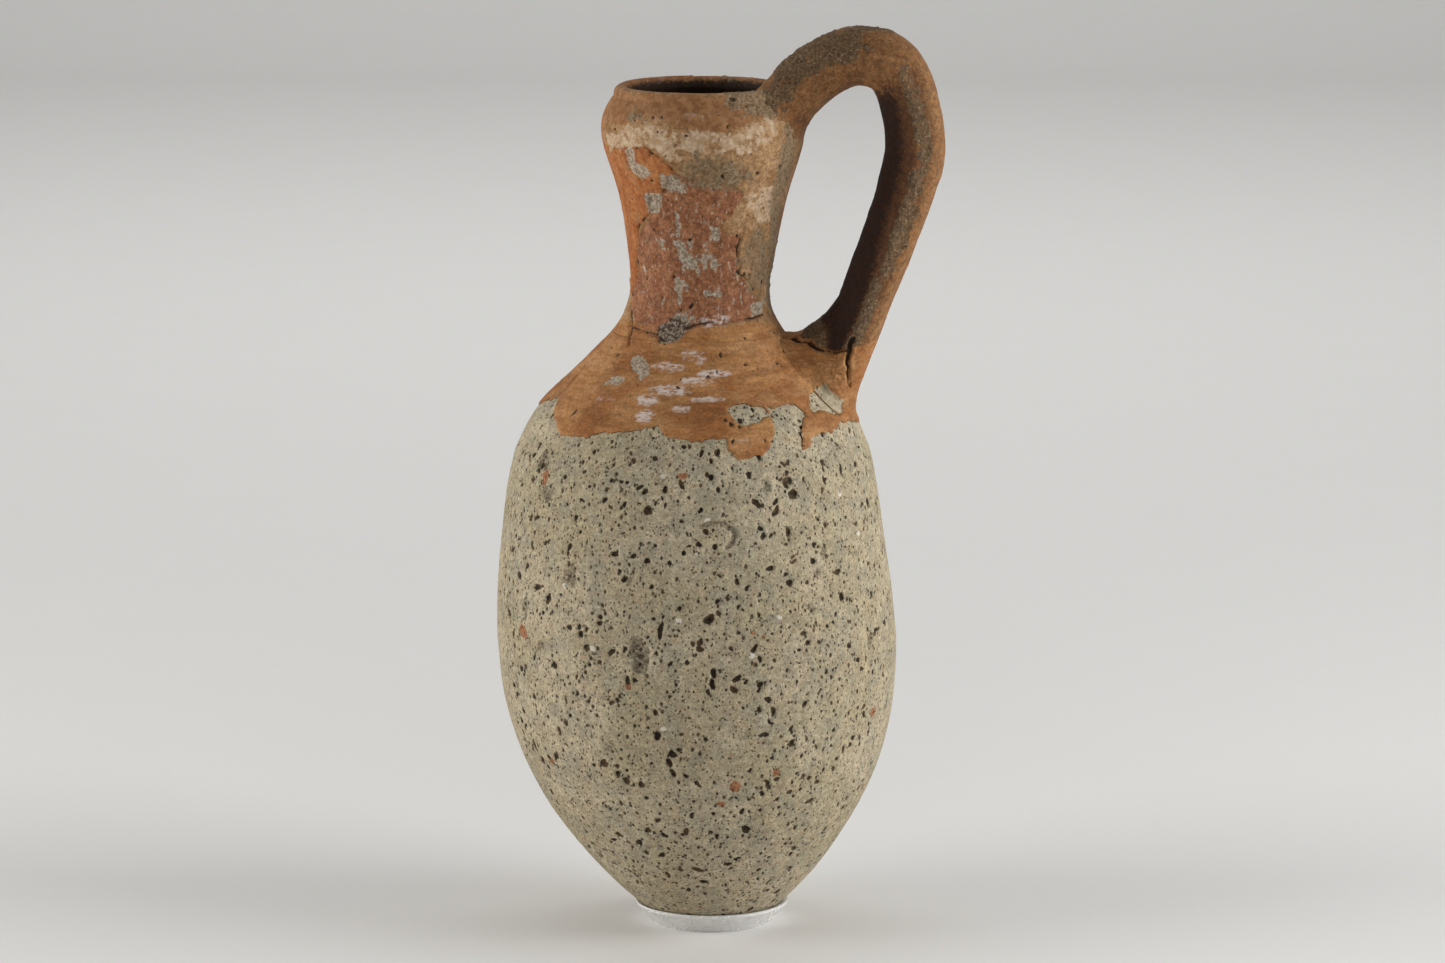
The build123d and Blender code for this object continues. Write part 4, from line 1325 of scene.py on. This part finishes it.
def handle_clay():
    n = Nodes("handle_clay")
    colour = n.mottled(n.noise(11, 4.0, 0.6), 0.4, 0.6, (0.165, 0.067, 0.024), (0.235, 0.102, 0.036))
    colour = n.tint(colour, n.noise(3.2, 4.0, 0.7), 0.48, 0.62, 0.5, (0.30, 0.155, 0.066))
    # The lit colour is partly smoother clay and partly a painted highlight on the roll's outer side.
    lit = n.mottled(n.noise(2.4, 4.0, 0.7), 0.4, 0.6, (0.205, 0.094, 0.034), (0.30, 0.158, 0.062))
    colour = n.cover(colour, "light", 0.7, lit, 0.4)
    # The shade and dark fields are painted shade inside the loop: mid brown, then nearly black.
    colour = n.cover(colour, "shade", 0.9, (0.085, 0.034, 0.013), 0.45)
    colour = n.cover(colour, "dark", 0.96, (0.022, 0.008, 0.0035), 0.45)
    colour = n.shade(colour, n.noise(2.0, 4.0, 0.7), 0.78, 1.15)
    colour = n.shade(colour, n.noise(0.8, 4.0, 0.75), 0.76, 1.18)
    colour = n.cover(colour, "grit", 0.85, grains(n, (0.068, 0.042, 0.020), (0.160, 0.105, 0.055)))
    colour = n.cover(colour, "skin", 1.0, shoulder_orange(n), 0.3)
    stone = n.mottled(n.noise(1.2, 4.0, 0.7), 0.4, 0.6, (0.33, 0.28, 0.18), (0.48, 0.41, 0.285))
    stone = n.mix(n.specks(1.6, 0.2, 0.42, 0.6, 1.4), stone, (0.04, 0.025, 0.013))
    colour = n.cover(colour, "bare", 1.0, stone, 0.15)
    # Pits and cracks painted dark: partly dirt, partly painted shade.
    colour = n.over(colour, pit_mask(n), 0.93, (0.022, 0.012, 0.006))
    normal = n.bump(n.noise(0.8, 5.0, 0.75), 0.75, 0.3)
    normal = n.bump(n.noise(2.4, 4.0), 0.5, 0.6, normal)
    return n.finish(colour, n.step(n.noise(2.0, 3.0), 0.3, 0.7, 0.72, 0.92), normal)


def clear_plastic():
    n = Nodes("clear_plastic")
    haze = n.step(n.noise(3.0, 4.0), 0.35, 0.7, 0.16, 0.34)
    n.put(n.mix(n.noise(9.0, 2.0), (0.93, 0.92, 0.88), (0.97, 0.96, 0.94)), n.shader.inputs["Base Color"])
    n.shader.inputs["Transmission Weight"].default_value = 0.35
    n.shader.inputs["IOR"].default_value = 1.49
    n.put(haze, n.shader.inputs["Roughness"])
    n.put(n.bump(n.noise(1.2, 3.0), 0.08, 0.05), n.shader.inputs["Normal"])
    return n.material


# ---- the pieces ----
porous, fired, pulled = porous_clay(), fired_clay(), handle_clay()
# The body's courses share their columns, and so do the neck and the rim, so that their edges meet exactly.
wide = around(outline.rz[:, 0].max())
narrow = around(outline.at(outline.outside(RIM_Z))[0] * 1.1)

base = base_piece("jug_base_disc", around(30.0))
lower = wall_piece("jug_lower_wall", FLOOR_Z, BELLY_Z, wide, body_fields)
upper = wall_piece("jug_upper_wall", BELLY_Z, SHOULDER_Z, wide, body_fields)
shoulder = wall_piece("jug_shoulder", SHOULDER_Z, NECK_Z, wide, body_fields)
skin = skin_piece("jug_shoulder_skin", wide)
neck = wall_piece("jug_neck", NECK_Z, RIM_Z, narrow, fired_fields, strips=1)
rim = wall_piece("jug_rim", RIM_Z, MOUTH_Z, narrow, fired_fields, lip=True, strips=1)
roll = handle_piece("jug_handle")
rim_pad = pad_piece(
    "jug_rim_pad", True,
    climb=lambda a: 9 + 3 * np.cos(a),
    spread=lambda a: 3.5 + 3 * np.abs(np.sin(a)),
    fill=lambda a: 0 * a,
    field=rim_pad_fields,
)
# The foot pad fills the loop's lower corner and is thin everywhere else.
foot_pad = pad_piece(
    "jug_foot_pad", False,
    climb=lambda a: 9 + 15 * smooth(1.4, 2.8, np.abs(a)),
    spread=lambda a: 4 + 10 * smooth(1.9, 2.8, np.abs(a)),
    fill=lambda a: 0.5 * smooth(1.9, 2.8, np.abs(a)),
    field=foot_pad_fields,
)
for piece, node, material, slot in [
    (base, "base_disc", porous, "porous_clay"),
    (lower, "lower_wall", porous, "porous_clay"),
    (upper, "upper_wall", porous, "porous_clay"),
    (shoulder, "shoulder", porous, "porous_clay"),
    (skin, "shoulder_skin", fired, "orange_clay"),
    (neck, "neck", fired, "orange_clay"),
    (rim, "rim", fired, "orange_clay"),
    (roll, "handle", pulled, "handle_clay"),
    (rim_pad, "rim_pad", pulled, "handle_clay"),
    (foot_pad, "foot_pad", pulled, "handle_clay"),
]:
    piece.data.materials.clear()
    piece.data.materials.append(material)
    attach(piece, "jug")
    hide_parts(node)
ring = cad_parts["display_ring"]
ring.data.materials.clear()
ring.data.materials.append(clear_plastic())


# ---- studio ----
def plain(name, colour, roughness):
    """A nearly even matt paint."""
    n = Nodes(name)
    tone = n.mix(n.noise(60, 3.0), tuple(c * 0.98 for c in colour), colour)
    return n.finish(tone, roughness, n.bump(n.noise(2.0, 2.0), 0.05, 0.1))


def backdrop():
    """A pale floor that sweeps up behind the jug."""
    depth, half, rise, bend_radius = 2.5, 4.5, 2.4, 0.5
    line = [(-half, 0.0), (depth, 0.0)]
    for turn in np.linspace(0, math.pi / 2, 24):
        line.append((depth + bend_radius * math.sin(turn), bend_radius * (1 - math.cos(turn))))
    line.append((depth + bend_radius, rise))
    verts = [(x, y, z) for y, z in line for x in (-half, half)]
    faces = [(2 * k, 2 * k + 1, 2 * k + 3, 2 * k + 2) for k in range(len(line) - 1)]
    mesh = bpy.data.meshes.new("floor")
    mesh.from_pydata(verts, [], faces)
    mesh.polygons.foreach_set("use_smooth", [True] * len(faces))
    floor = add_object("floor", mesh)
    mesh.materials.append(plain("pale_floor", (0.80, 0.79, 0.77), 0.7))
    floor.rotation_euler.z = CAMERA_TURN


def aimed(thing, place, aim):
    """Puts a lamp or the camera at a place, looking at aim."""
    thing.location = place
    thing.rotation_euler = (Vector(aim) - thing.location).to_track_quat("-Z", "Y").to_euler()


def soft_light(name, place, aim, size, power, colour=(1, 1, 1)):
    lamp = bpy.data.lights.new(name, "AREA")
    lamp.shape = "RECTANGLE"
    lamp.size, lamp.size_y = size
    lamp.energy = power
    lamp.color = colour
    aimed(add_object(name, lamp), place, aim)


def around_camera(right, toward, up):
    """A place given to the image's right of the jug, toward the camera and up, in metres."""
    c, n = math.cos(CAMERA_TURN), math.sin(CAMERA_TURN)
    return (right * c + toward * n, right * n - toward * c, up)


middle = (0.0, 0.0, 0.14)
backdrop()
soft_light("left", around_camera(-0.97, 0.22, 0.42), middle, (0.7, 0.9), 9.0, (1.0, 0.985, 0.96))
soft_light("right", around_camera(0.96, 0.22, 0.40), middle, (0.7, 0.9), 11.4)
soft_light("front", around_camera(0.1, 1.5, 0.9), middle, (1.2, 0.8), 1.8)
soft_light("backdrop", around_camera(0.0, -1.2, 1.7), around_camera(0, -2.1, 0.0), (2.6, 0.8), 27.0)

world = bpy.data.worlds.new("world")
bpy.context.scene.world = world
world.use_nodes = True
sky = world.node_tree.nodes["Background"].inputs
sky["Color"].default_value = (0.9, 0.95, 1.0, 1)
sky["Strength"].default_value = 0.07
bpy.context.scene.view_settings.view_transform = "Standard"

aim = Vector(around_camera(AIM_RIGHT * MM, 0, AIM_HEIGHT * MM))
reach = CAMERA_DISTANCE * MM
camera_data = bpy.data.cameras.new("camera")
camera_data.lens = CAMERA_LENS
camera_data.sensor_width = 36.0
camera_data.clip_end = 20.0
camera = add_object("camera", camera_data)
away = around_camera(0, reach * math.cos(CAMERA_PITCH), reach * math.sin(CAMERA_PITCH))
aimed(camera, aim + Vector(away), aim)
bpy.context.scene.camera = camera
